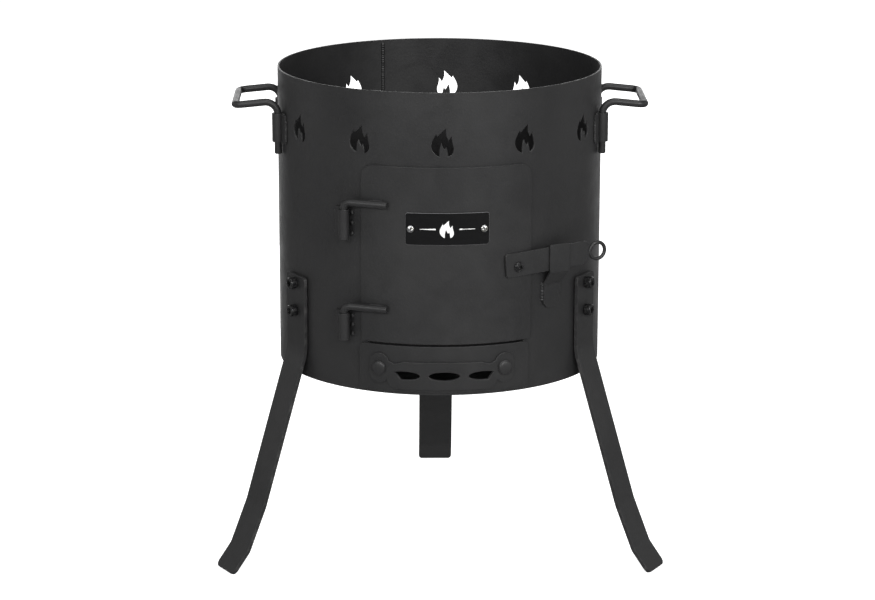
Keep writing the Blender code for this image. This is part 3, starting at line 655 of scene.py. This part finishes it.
def weld(name, body, points, radius, seed):
    """A hand-laid weld bead along a polyline: overlapping ripples, uneven, with drawn-out ends."""
    knot_every, tip, ripple_depth, unevenness, wobble = 5, 0.35, 0.14, 0.10, 0.12
    dice = random.Random(seed)
    path = resampled([Vector(point) for point in points], radius / 4)
    ripple, total = 1.2 * radius, path_length(path)
    drift = [dice.uniform(-1, 1) for _ in range(len(path) // knot_every + 3)]
    radii = []
    for i in range(len(path)):
        run = total * i / (len(path) - 1)
        crest = 0.5 - 0.5 * math.cos(2 * math.pi * run / ripple)
        knot, part = divmod(i / knot_every, 1)
        wander = drift[int(knot)] * (1 - part) + drift[int(knot) + 1] * part
        end = min(1.0, tip + min(run, total - run) / ripple)
        radii.append(radius * end * (1 - ripple_depth + ripple_depth * crest + unevenness * wander))
    path = [point + UP * radius * wobble * drift[i // knot_every] for i, point in enumerate(path)]
    piece("weld_" + name, tube(path, radii, 14), "coated_steel", body)


# ------------ turned pieces
def hex_shape(angle):
    """A hexagon whose flats are at distance 1."""
    return 1 / math.cos((angle + math.pi / 6) % (math.pi / 3) - math.pi / 6)


def cross_shape(angle):
    """A cross recess with arms of length 1 and a half width of a quarter."""
    off = abs((angle + math.pi / 4) % (math.pi / 2) - math.pi / 4)
    return min(1 / math.cos(off), 0.25 / max(math.sin(off), 0.01))


def knurl_shape(angle):
    """A circle with straight knurling."""
    return 1.0 + 0.008 * math.cos(48 * angle)


def lathe(profile, sides=48):
    """A turned piece: rings of (radius, height) from the top of the axis down to its foot.

    A ring that isn't round has its shape as a third item.
    """
    bm = bmesh.new()
    turns = [2 * math.pi * k / sides for k in range(sides)]
    rings = []
    for radius, height, *shape in profile:
        if radius == 0:
            rings.append([bm.verts.new((0.0, 0.0, height))])
            continue
        reach = [radius * shape[0](a) if shape else radius for a in turns]
        places = [(r * math.cos(a), r * math.sin(a), height) for r, a in zip(reach, turns)]
        rings.append([bm.verts.new(place) for place in places])
    for high, low in zip(rings, rings[1:]):
        for k in range(sides):
            around = ((high, k), (high, k - 1), (low, k - 1), (low, k))
            corners = [ring[turn % len(ring)] for ring, turn in around]
            bm.faces.new(list(dict.fromkeys(corners)))
    return bm


def shank(size, length):
    """The profile of a screw's shank, with its chamfered tip, below local z = 0."""
    radius, chamfer = size.shank, size.shank / 6
    return [(radius, 0.0), (radius, chamfer - length), (radius - chamfer, -length), (0.0, -length)]


def crown(head, high, rim, turns, rise_power, side_power=1.0):
    """The profile of a domed head down to its rim, at turns in degrees from the axis.

    A rise power under 1 makes it flatter than a circle, and a side power over 1 draws its top in.
    """
    profile = []
    for turn in map(math.radians, turns):
        rise = (high - rim) * max(math.cos(turn), 0.0) ** rise_power
        profile.append((head * math.sin(turn) ** side_power, rim + rise))
    return profile


def recess(radius, depth, high, shape, lead=0.0002):
    """The profile of a shaped recess in a head's top, with a drilled point at its foot."""
    foot = high - depth
    drilled = [(0.0, foot - radius * 0.3), (radius * 0.8, foot)]
    return drilled + [(radius, foot, shape), (radius, high - lead, shape), (radius + lead, high, shape)]


def socket_screw(size, length):
    """A knurled cap screw with a hexagon socket."""
    head, high, chamfer, knurl = size.head, size.high, 0.0007, size.head * 0.99
    profile = recess(0.0032, 0.0045, high, hex_shape)
    profile += [(head - 2 * chamfer, high), (head - chamfer, high - chamfer / 6)]
    profile += [(head - chamfer / 4, high - chamfer), (knurl, high - 1.6 * chamfer, knurl_shape)]
    profile += [(knurl, chamfer, knurl_shape), (head - chamfer, 0.0)]
    return lathe(profile + shank(size, length), 96)


def button_screw(size, length):
    """A button head with a hexagon socket."""
    head, high = size.head, size.high
    profile = recess(0.0024, 0.0022, high, hex_shape) + [(head * 0.56, high - 0.0001)]
    profile += crown(head, high, 0.0004, range(38, 91, 13), 0.8) + [(head, 0.0)]
    return lathe(profile + shank(size, length))


def dome_screw(size, length):
    """A smooth domed head, as on a coach bolt, with a thin rim."""
    head, high = size.head, size.high
    profile = [(0.0, high)] + crown(head - 0.0004, high, 0.0012, range(12, 91, 13), 0.6)
    profile += [(head, 0.0010), (head, 0.0002), (head - 0.0003, 0.0)]
    return lathe(profile + shank(size, length))


def pan_screw(size, length):
    """A pan head with a cross recess."""
    head, high = size.head, size.high
    profile = recess(0.0025, 0.0021, high, cross_shape, 0.0001)
    profile += crown(head, high, 0.0004, range(50, 91, 10), 0.45, 1.3) + [(head, 0.0)]
    return lathe(profile + shank(size, length), 96)


def hexagon_nut(size):
    """A hexagon nut with chamfered corners and a countersunk bore; its outer face is at local z = 0."""
    flat, thick, bore, sink = size.flats / 2, size.nut, size.shank + GAP, 0.0004
    chamfer, face = flat * 0.12, flat * 0.96
    outside = [(face, 0.0), (flat, -chamfer, hex_shape), (flat, chamfer - thick, hex_shape), (face, -thick)]
    inside = [(bore + sink, -thick), (bore, sink - thick), (bore, -sink), (bore + sink, 0.0)]
    return lathe(outside + inside + outside[:1])


def fasten(names, screw, size, azimuth, height, seats, turns, finishes=("black_steel", "black_steel")):
    """A screw and its nut. The names, seats' radii, turns and finishes are the screw's, then the nut's."""
    shapes = (screw(size, seats[0] - seats[1] + size.nut + size.tip), hexagon_nut(size))
    for name, bm, seat, turn, finish in zip(names, shapes, seats, turns, finishes):
        stand_in(name, bm, facing(azimuth, seat, height, turn), finish)


# ------------ drum, floor and grate
def show_drum():
    """The rolled wall with its flame cut-outs, doorway, airway and welded seam."""
    seam = flat_x(SEAM_DEG)
    low, high = (seam - flat_x(360) + SEAM_GAP / 2, DRUM_LOW.z), (seam - SEAM_GAP / 2, DRUM_HIGH.z)
    outline = [low, (high[0], low[1]), high, (low[0], high[1])]
    flame = curved_sides(FLAME, 8)
    holes = [moved(flame, flat_x(number * FLAME_PITCH_DEG), FLAME_Z, MM) for number in FLAMES]
    holes.append(drum_rectangle(DOORWAY_DEG, DOORWAY_Z, (DOORWAY_CORNER,) * 4))
    holes.append(drum_rectangle(AIRWAY_DEG, AIRWAY_Z, (AIRWAY_CORNER,) * 4))
    stand_in("drum_shell", drum_sheet(outline, holes, DRUM_R - WALL, WALL), rolled=True)
    ends = (DRUM_LOW.z + 0.002, DRUM_HIGH.z - 0.002)
    for name, radius in (("outside", DRUM_R), ("inside", DRUM_R - WALL)):
        points = [at(SEAM_DEG, radius, z) for z in ends]
        weld("seam_" + name, "stove", points, SEAM_BEADS[name], 3)


def show_floor():
    """The ash floor and the stitch welds that hold it."""
    inside = DRUM_R - WALL - GAP
    thick = FLOOR_TOP_Z - heights("floor_plate")[0]
    place = Matrix.Translation(AXIS + (FLOOR_TOP_Z - thick / 2) * UP)
    plate = flat_sheet(circle((0, 0), inside - GAP, ROUND_SIDES), [], thick)
    stand_in("floor_plate", plate, place)
    stitches, first_deg, stitch_deg, bead_z = 8, 10, 10, FLOOR_TOP_Z + 0.0006
    for number in range(stitches):
        start = 360 // stitches * number + first_deg
        points = [at(turn, inside - BEAD_LIFT, bead_z) for turn in range(start, start + stitch_deg + 1, 2)]
        weld(f"floor_{number}", "stove", points, FLOOR_BEAD, number)


def show_grate():
    """The loose grate with its rows of slots."""
    pitch, width, rows, margin, bridge = 0.020, 0.008, 15, 0.014, 0.007
    holes = []
    for row in range(rows):
        y = (row - (rows - 1) / 2) * pitch
        reach = (math.sqrt((GRATE_R - margin) ** 2 - y ** 2) - bridge) / 2
        holes += [slot((side * (bridge + reach), y), reach, width / 2) for side in (-1, 1)]
    place = Matrix.Translation(AXIS + (GRATE_Z + GRATE_THICK / 2) * UP)
    bm = flat_sheet(circle((0, 0), GRATE_R, ROUND_SIDES), holes, GRATE_THICK, 0.0005)
    stand_in("fire_grate", bm, place, "grate_steel")


def show_lugs():
    """The lugs that the grate rests on, each an angle welded down both sides."""
    top, wall = GRATE_Z - GAP, DRUM_R - WALL - GAP
    inner, under, corner = wall - LUG_THICK, top - LUG_THICK, 0.0015
    outline = [(wall, top - LUG_TALL), (wall, top), (wall - LUG_REACH, top), (wall - LUG_REACH, under)]
    outline += arc((inner - corner, under - corner), corner, 90, 0, 5) + [(inner, top - LUG_TALL)]
    half_turn = math.degrees(LUG_WIDTH / 2 / wall)
    for number, (name, azimuth) in enumerate(LUG_AZIMUTHS.items()):
        place = columns(outward(azimuth), UP, -along(azimuth), AXIS)
        stand_in("grate_lug_" + name, flat_sheet(outline, [], LUG_WIDTH), place)
        for side, hand in SIDES.items():
            turn = azimuth + side * half_turn
            points = [at(turn, wall - BEAD_LIFT, top - depth) for depth in (0.003, 0.015)]
            weld(f"lug_{name}_{hand}", "stove", points, LUG_BEAD, 20 + number + side)


# ------------ legs
def show_legs():
    """Three bent flat-bar legs with cap screws outside and nuts inside."""
    path = resampled(fillet([(radius, height, 0.0) for radius, height in LEG_PATH], LEG_BEND_R), step=0.03)
    length = path_length(path)
    half = LEG_WIDTH / 2
    outline = rounded((-half, 0.0), (half, length), LEG_CORNERS)
    seats = (DRUM_R + GAP + LEG_THICK + GAP, DRUM_R - WALL - 2 * GAP)
    for name, azimuth in LEG_AZIMUTHS.items():
        bm = bent_strip(azimuth, [(p.x, p.y) for p in path], outline, [], LEG_THICK)
        everything = bm.verts[:] + bm.edges[:] + bm.faces[:]
        ground = {"plane_co": (0, 0, 0), "plane_no": (0, 0, -1), "clear_outer": True}
        cut = bmesh.ops.bisect_plane(bm, geom=everything, **ground)
        rim = [edge for edge in cut["geom_cut"] if isinstance(edge, bmesh.types.BMEdge)]
        bmesh.ops.edgeloop_fill(bm, edges=rim)
        stand_in("leg_" + name, bm)
        for number, (level, height) in enumerate(LEG_BOLT_Z.items()):
            names = [f"leg_{kind}_{name}_{level}" for kind in ("bolt", "nut")]
            turn = 17 + 31 * number + azimuth      # each stopped somewhere else when it was tightened
            fasten(names, socket_screw, M8_SOCKET, azimuth, height, seats, (turn, turn))


# ------------ door, hinges, plate
def show_door():
    """The curved door, its hinge pins and their welds."""
    outline = drum_rectangle(DOOR_DEG, DOOR_Z, (0.002, 0.002, DOOR_CORNER, DOOR_CORNER))
    stand_in("door_panel", drum_sheet(outline, [], DRUM_R + GAP, WALL), rolled=True)
    way, beside = along(HINGE_ARM_DEG), 0.0030
    for number, (name, (low, high)) in enumerate(HINGE_SLEEVE_Z.items()):
        arm = at(HINGE_DEG, HINGE_R, high + HINGE_ARM_RISE)
        points = [at(HINGE_DEG, HINGE_R, low + 0.001), arm, arm + way * HINGE_ARM_LENGTH]
        stand_in("hinge_pin_" + name, bar(points, (HINGE_BEND_R,), ROD_R))
        for side, place in ((-1, "under"), (1, "over")):
            lift = UP * side * beside - outward(HINGE_ARM_DEG) * beside
            runs = [arm + way * reach + lift for reach in (0.028, 0.045)]
            weld(f"hinge_arm_{name}_{place}", "door", runs, HINGE_ARM_BEAD, 40 + 2 * number + side)


def show_plate():
    """The blank plate on the door with a plain printed ornament, and its screws."""
    inside = DRUM_R + GAP + WALL + GAP
    half_x, half_z, middle = PLATE_SIZE[0] / 2, PLATE_SIZE[1] / 2, flat_x(PLATE_DEG)
    low, high = (middle - half_x, PLATE_Z - half_z), (middle + half_x, PLATE_Z + half_z)
    bm = drum_sheet(rounded(low, high, (PLATE_CORNER,) * 4), [], inside, PLATE_THICK, FINE_EDGE)
    stand_in("name_plate", bm, finish="plate_black", rolled=True)
    show_ornament(inside + PLATE_THICK)
    seats, zinc = (inside + PLATE_THICK + GAP, DRUM_R), ("zinc_steel", "zinc_steel")
    for name, azimuth in PLATE_SCREW_DEG.items():
        names = ("plate_screw_" + name, "plate_nut_" + name)
        fasten(names, pan_screw, M4_PAN, azimuth, PLATE_Z, seats, (2 * azimuth, 0), zinc)


def show_ornament(outside):
    """A plain printed flame between two tapered rules, as ink on the plate."""
    ink, scale, flame_half_tall = 0.00008, 0.62 * MM, 15.2
    flame_x = sum(x for (x, _), _ in FLAME) / len(FLAME) * scale
    middle, foot = flat_x(PLATE_DEG), PLATE_Z - flame_half_tall * scale
    shapes = {"flame": moved(curved_sides(FLAME, 6), middle - flame_x, foot, scale)}
    inner, outer, half = 0.0125, 0.0290, 0.0008
    for side, name in SIDES.items():
        rule = [(inner, -half), (outer, -half / 4), (outer, half / 4), (inner, half)]
        shapes["rule_" + name] = moved([(side * x, z) for x, z in rule], middle, PLATE_Z)
    for name, outline in shapes.items():
        bm = drum_sheet(outline, [], outside, ink, ink / 4)
        piece("plate_print_" + name, bm, "print_white", "door", rolled=True)


def drum_drop(distance):
    """How far the drum's round falls away from its tangent at a distance along it."""
    return DRUM_R - math.sqrt(DRUM_R ** 2 - distance ** 2)


def show_hinge_sleeves():
    """Two knuckles rolled from strip, tacked to the drum along the leaf and beside the barrel."""
    base = DRUM_R + GAP - HINGE_R
    thick, leaf = HINGE_LEAF_THICK, HINGE_LEAF
    root = thick - SLEEVE_R
    meet = math.degrees(math.atan2(-math.sqrt(SLEEVE_R ** 2 - root ** 2), root))
    outline = arc((0, 0), SLEEVE_R, meet, 180, 40)
    reaches = [SLEEVE_R + (leaf - SLEEVE_R) * i / 4 for i in range(5)]
    outline += [(-reach, base + thick - drum_drop(reach)) for reach in reaches]
    outline += [(-reach, base - drum_drop(reach)) for reach in reversed([-root] + reaches)]
    # beside the barrel: how far from its axis, how long a tack is, and the heights where the tacks start
    beside, tack_length, tacks = 0.0048, 0.0045, (0.10, 0.45, 0.78)
    for number, (name, (low, high)) in enumerate(HINGE_SLEEVE_Z.items()):
        bm = flat_sheet(outline, [circle((0, 0), BORE_R)], high - low, FINE_EDGE)
        place = standing(HINGE_DEG, HINGE_R, (low + high) / 2)
        stand_in("hinge_sleeve_" + name, bm, place)
        edge_deg = HINGE_DEG - math.degrees(leaf / DRUM_R)
        points = [at(edge_deg, DRUM_R + BEAD_LIFT, z) for z in (low + 0.003, high - 0.003)]
        weld(f"hinge_leaf_{name}", "stove", points, LEAF_BEAD, 60 + number)
        side_deg = HINGE_DEG + math.degrees(beside / DRUM_R)
        for spot, start in enumerate(tacks):
            foot = low + (high - low) * start
            points = [at(side_deg, DRUM_R + 0.0014, foot + lift) for lift in (0.0, tack_length)]
            weld(f"hinge_barrel_{name}_{spot}", "stove", points, BARREL_BEAD, 70 + 3 * number + spot)


# ------------ latch
def show_latch():
    """The drop lever with its welded ring, its pivot, and the catch with its weld."""
    middle = DRUM_R + GAP + WALL + GAP + LEVER_THICK / 2
    place = facing(LATCH_DEG, middle, LATCH_Z, LATCH_TILT_DEG)
    outline = rounded(LEVER_LOW, LEVER_HIGH, LEVER_CORNERS)
    stand_in("latch_lever", flat_sheet(outline, [], LEVER_THICK), place)
    centre = Vector((RING_OUT, (LEVER_LOW[1] + LEVER_HIGH[1]) / 2 - RING_DROP, 0.0))
    points = [Vector((x, y, 0.0)) + centre for x, y in circle((0, 0), RING_R, 64)]
    stand_in("latch_ring", tube(points, [RING_WIRE_R] * len(points), 20, closed=True), place)
    joint = [place @ (Vector((x, y, 0.0)) + centre) for x, y in arc((0, 0), RING_R + 0.001, 155, 205, 8)]
    weld("ring", "latch", joint, RING_BEAD, 90)
    names, seats = ("latch_pivot_bolt", "latch_pivot_nut"), (middle + LEVER_THICK / 2 + GAP, DRUM_R)
    fasten(names, button_screw, M6_BUTTON, LATCH_DEG, LATCH_Z, seats, (12, 0))

    foot = DRUM_R + GAP + CATCH_THICK / 2
    clear = middle + LEVER_THICK / 2 + GAP + CATCH_THICK / 2
    top = clear / math.cos(math.radians(CATCH_DEG - LATCH_DEG))
    foot_z, low_bend, high_bend, top_z = CATCH_Z
    corners = [(foot, foot_z, 0.0), (foot, low_bend, 0.0), (top, high_bend, 0.0), (top, top_z, 0.0)]
    path = resampled(fillet(corners, CATCH_BEND_R, 6), step=0.002)
    half = CATCH_WIDTH / 2
    outline = rounded((-half, 0.0), (half, path_length(path)), CATCH_CORNERS)
    bm = bent_strip(CATCH_DEG, [(p.x, p.y) for p in path], outline, [], CATCH_THICK, LATCH_DEG - CATCH_DEG)
    stand_in("latch_catch", bm)
    half_turn = math.degrees(half / DRUM_R)
    for side, name in SIDES.items():
        points = [at(CATCH_DEG + side * half_turn, DRUM_R - 0.0004, z) for z in CATCH_WELD_Z]
        weld("catch_" + name, "stove", points, CATCH_BEAD, 95 + side)


# ------------ air damper
def show_damper():
    """The panel over the airway, and the damper plate with its two domed bolts."""
    inside = DRUM_R + GAP
    outline = drum_rectangle(PANEL_DEG, PANEL_Z, (0.002, 0.002, 0.006, 0.006))
    play = 0.0004
    hole = M6_DOME.shank + play
    upright = [(-y, x) for x, y in slot((0, 0), DAMPER_TRAVEL / 2 + hole + play, hole)]
    slots = [moved(upright, flat_x(side * EAR_DEG), EAR_Z + DAMPER_TRAVEL / 2) for side in (-1, 1)]
    bm = drum_sheet(outline, vents(0.0) + slots, inside, WALL)
    stand_in("air_panel", bm, rolled=True)

    plate_in = inside + WALL + GAP
    ear_x = flat_x(EAR_DEG)
    low, high = DAMPER_Z
    right = [(0.0470, low), (0.0500, low + 0.0003), (0.0525, low + 0.0012), (0.0548, low + 0.0027)]
    right.append((0.0565, low + 0.0045))
    right += arc((ear_x, EAR_Z - EAR_REACH), EAR_R, -140, 0, 20)
    right += arc((ear_x, EAR_Z + EAR_REACH), EAR_R, 0, 165, 24)
    right += [(0.0545, high - 0.0011), (0.0523, high - 0.0021), (0.0500, high - 0.0025)]
    right += [(0.0480, high - 0.0021), (0.0460, high - 0.0013), (0.0430, high - 0.0004), (0.0400, high)]
    outline = right + [(-x, z) for x, z in reversed(right)]
    bm = drum_sheet(outline, vents(0.0002), plate_in, WALL)
    stand_in("air_slider", bm, rolled=True)
    seats, finishes = (plate_in + WALL + GAP, inside - GAP), ("coated_steel", "black_steel")
    for side, name in SIDES.items():
        names = ("slider_bolt_" + name, "slider_nut_" + name)
        fasten(names, dome_screw, M6_DOME, side * EAR_DEG, EAR_Z, seats, (0, 20 * side), finishes)


# ------------ carry handles
def strap_outline(base):
    """A strap knuckle's section: round the rod, then a leaf on the drum, whose side is at y = base."""
    outer = BORE_R + HANDLE_STRAP
    crease = math.degrees(math.asin((base + HANDLE_STRAP) / outer))
    heel = 180 - math.degrees(math.asin(base / outer))
    foot = math.degrees(math.asin(base / BORE_R))
    outline = arc((0, 0), outer, crease, heel, 40) + arc((0, 0), BORE_R, heel, foot, 32)
    reaches = [HANDLE_LEAF * (0.5 + i / 8) for i in range(5)]
    outline += [(reach, base - drum_drop(reach)) for reach in reaches]
    return outline + [(reach, base + HANDLE_STRAP - drum_drop(reach)) for reach in reversed(reaches)]


def show_handles():
    """Two bent-rod handles that drop into four strap knuckles, each tacked to the drum."""
    sleeve_radius = math.hypot(HANDLE_X, HANDLE_HALF_SPAN)
    sleeve_turn = math.degrees(math.atan2(HANDLE_X, HANDLE_HALF_SPAN))
    knuckle = strap_outline(DRUM_R + GAP - sleeve_radius)
    low, high = HANDLE_SLEEVE_Z
    for side, name in SIDES.items():
        corners = []
        for end in (-1, 1):
            y = AXIS.y + end * HANDLE_HALF_SPAN
            half = [(side * HANDLE_X, y, HANDLE_FOOT_Z), (side * HANDLE_X, y, HANDLE_ARM_Z)]
            half.append((side * HANDLE_END_X, y, HANDLE_END_Z))
            corners += half if end < 0 else half[::-1]
        stand_in("handle_" + name, bar(corners, HANDLE_BEND_R, ROD_R))
        for place, azimuth in (("front", side * sleeve_turn), ("rear", side * (180 - sleeve_turn))):
            mirror = side * (1 if place == "front" else -1)
            shape = [(-mirror * x, y) for x, y in knuckle]
            tag = name + "_" + place
            bm = flat_sheet(shape, [], high - low, FINE_EDGE)
            sleeve_place = standing(azimuth, sleeve_radius, (low + high) / 2)
            stand_in("handle_sleeve_" + tag, bm, sleeve_place)
            leaf_turn = -mirror * math.degrees(1 / DRUM_R)
            seed = 120 + round(azimuth)
            turns = [azimuth + leaf_turn * reach for reach in (0.010, 0.017)]
            points = [at(turn, DRUM_R + 0.0012, high + 0.0002) for turn in turns]
            weld("handle_top_" + tag, "stove", points, HANDLE_TOP_BEAD, seed)
            turn = azimuth + leaf_turn * HANDLE_LEAF
            points = [at(turn, DRUM_R + BEAD_LIFT, z) for z in (low + 0.002, high - 0.006)]
            weld("handle_leaf_" + tag, "stove", points, LEAF_BEAD, seed + 1)


# ------------ studio
CAMERA_PLACE = Vector((-0.0582, -3.2511, 1.0931))
CAMERA_PITCH, CAMERA_YAW, CAMERA_ROLL = 0.25042, 0.01757, 0.00172     # radians down, right, clockwise
CAMERA_LENS, CAMERA_SENSOR = 120.13, 36.0
FLOOR_R, WORLD_GLOW = 14.0, 0.16
# Each softbox: its place, the point it faces, its width and height, and its watts. The rim lights stand
# low and close behind the drum, and brighten it only towards its two outlines.
SOFTBOXES = {
    "key_left": ((-1.35, -2.9, 1.6), (0.0, 0.0, 0.4), (1.7, 0.8), 42.0),
    "key_right": ((1.55, -2.8, 1.6), (0.0, 0.0, 0.4), (2.0, 0.8), 62.0),
    "top": ((0.2, -0.7, 3.2), (0.0, 0.0, 0.4), (2.4, 1.4), 34.0),
    "fill_left": ((-2.6, 0.4, 1.0), (0.0, 0.0, 0.3), (1.2, 1.6), 4.0),
    "fill_right": ((2.6, 0.4, 1.0), (0.0, 0.0, 0.3), (1.2, 1.6), 4.0),
    "back": ((0.0, 3.2, 1.0), (0.0, 0.0, 0.4), (4.2, 1.5), 42.0),
    "rim_left": ((-0.36, 0.83, 0.2), (-0.17, 0.0, 0.2), (0.5, 0.4), 0.55),
    "rim_right": ((0.45, 0.78, 0.2), (0.17, 0.0, 0.2), (0.6, 0.4), 0.28),
}


def set_camera():
    """The camera, looking down at the door."""
    data = bpy.data.cameras.new("camera")
    data.lens = CAMERA_LENS
    data.sensor_width = CAMERA_SENSOR
    data.dof.use_dof = False
    obj = bpy.data.objects.new("camera", data)
    tilt = Matrix.Rotation(math.pi / 2 - CAMERA_PITCH, 4, "X")
    turn = Matrix.Rotation(-CAMERA_YAW, 4, "Z")
    roll = Matrix.Rotation(CAMERA_ROLL, 4, "Z")
    obj.matrix_world = Matrix.Translation(CAMERA_PLACE) @ turn @ tilt @ roll
    bpy.context.scene.collection.objects.link(obj)
    bpy.context.scene.camera = obj


def softbox(name, place, target, size, power):
    """A rectangular area light that the camera doesn't see."""
    data = bpy.data.lights.new(name, "AREA")
    data.shape = "RECTANGLE"
    data.size, data.size_y = size
    data.energy = power
    obj = bpy.data.objects.new(name, data)
    obj.location = place
    obj.rotation_euler = (Vector(target) - Vector(place)).to_track_quat("-Z", "Y").to_euler()
    obj.visible_camera = False
    bpy.context.scene.collection.objects.link(obj)


def set_studio():
    """A white floor, an even grey surrounding and the softboxes."""
    bm = bmesh.new()
    bmesh.ops.create_circle(bm, cap_ends=True, segments=96, radius=FLOOR_R)
    mesh = bpy.data.meshes.new("floor")
    bm.to_mesh(mesh)
    bm.free()
    floor = bpy.data.objects.new("floor", mesh)
    floor.location = (0.0, 0.0, -0.0002)
    white = new_material("studio_white", studio_white, 0.0, 0.1)
    inputs = white.node_tree.nodes["Principled BSDF"].inputs
    inputs["Emission Color"].default_value = (1.0, 1.0, 1.0, 1.0)
    inputs["Emission Strength"].default_value = FLOOR_GLOW
    mesh.materials.append(white)
    bpy.context.scene.collection.objects.link(floor)
    floor.visible_glossy = False

    world = bpy.data.worlds.new("studio")
    world.use_nodes = True
    background = world.node_tree.nodes["Background"]
    background.inputs["Color"].default_value = (1.0, 1.0, 1.0, 1.0)
    background.inputs["Strength"].default_value = WORLD_GLOW
    bpy.context.scene.world = world
    bpy.context.scene.view_settings.view_transform = "Standard"

    for name, (place, target, size, power) in SOFTBOXES.items():
        softbox(name, place, target, size, power)


show_drum()
show_floor()
show_grate()
show_lugs()
show_legs()
show_door()
show_plate()
show_hinge_sleeves()
show_latch()
show_damper()
show_handles()
set_studio()
set_camera()
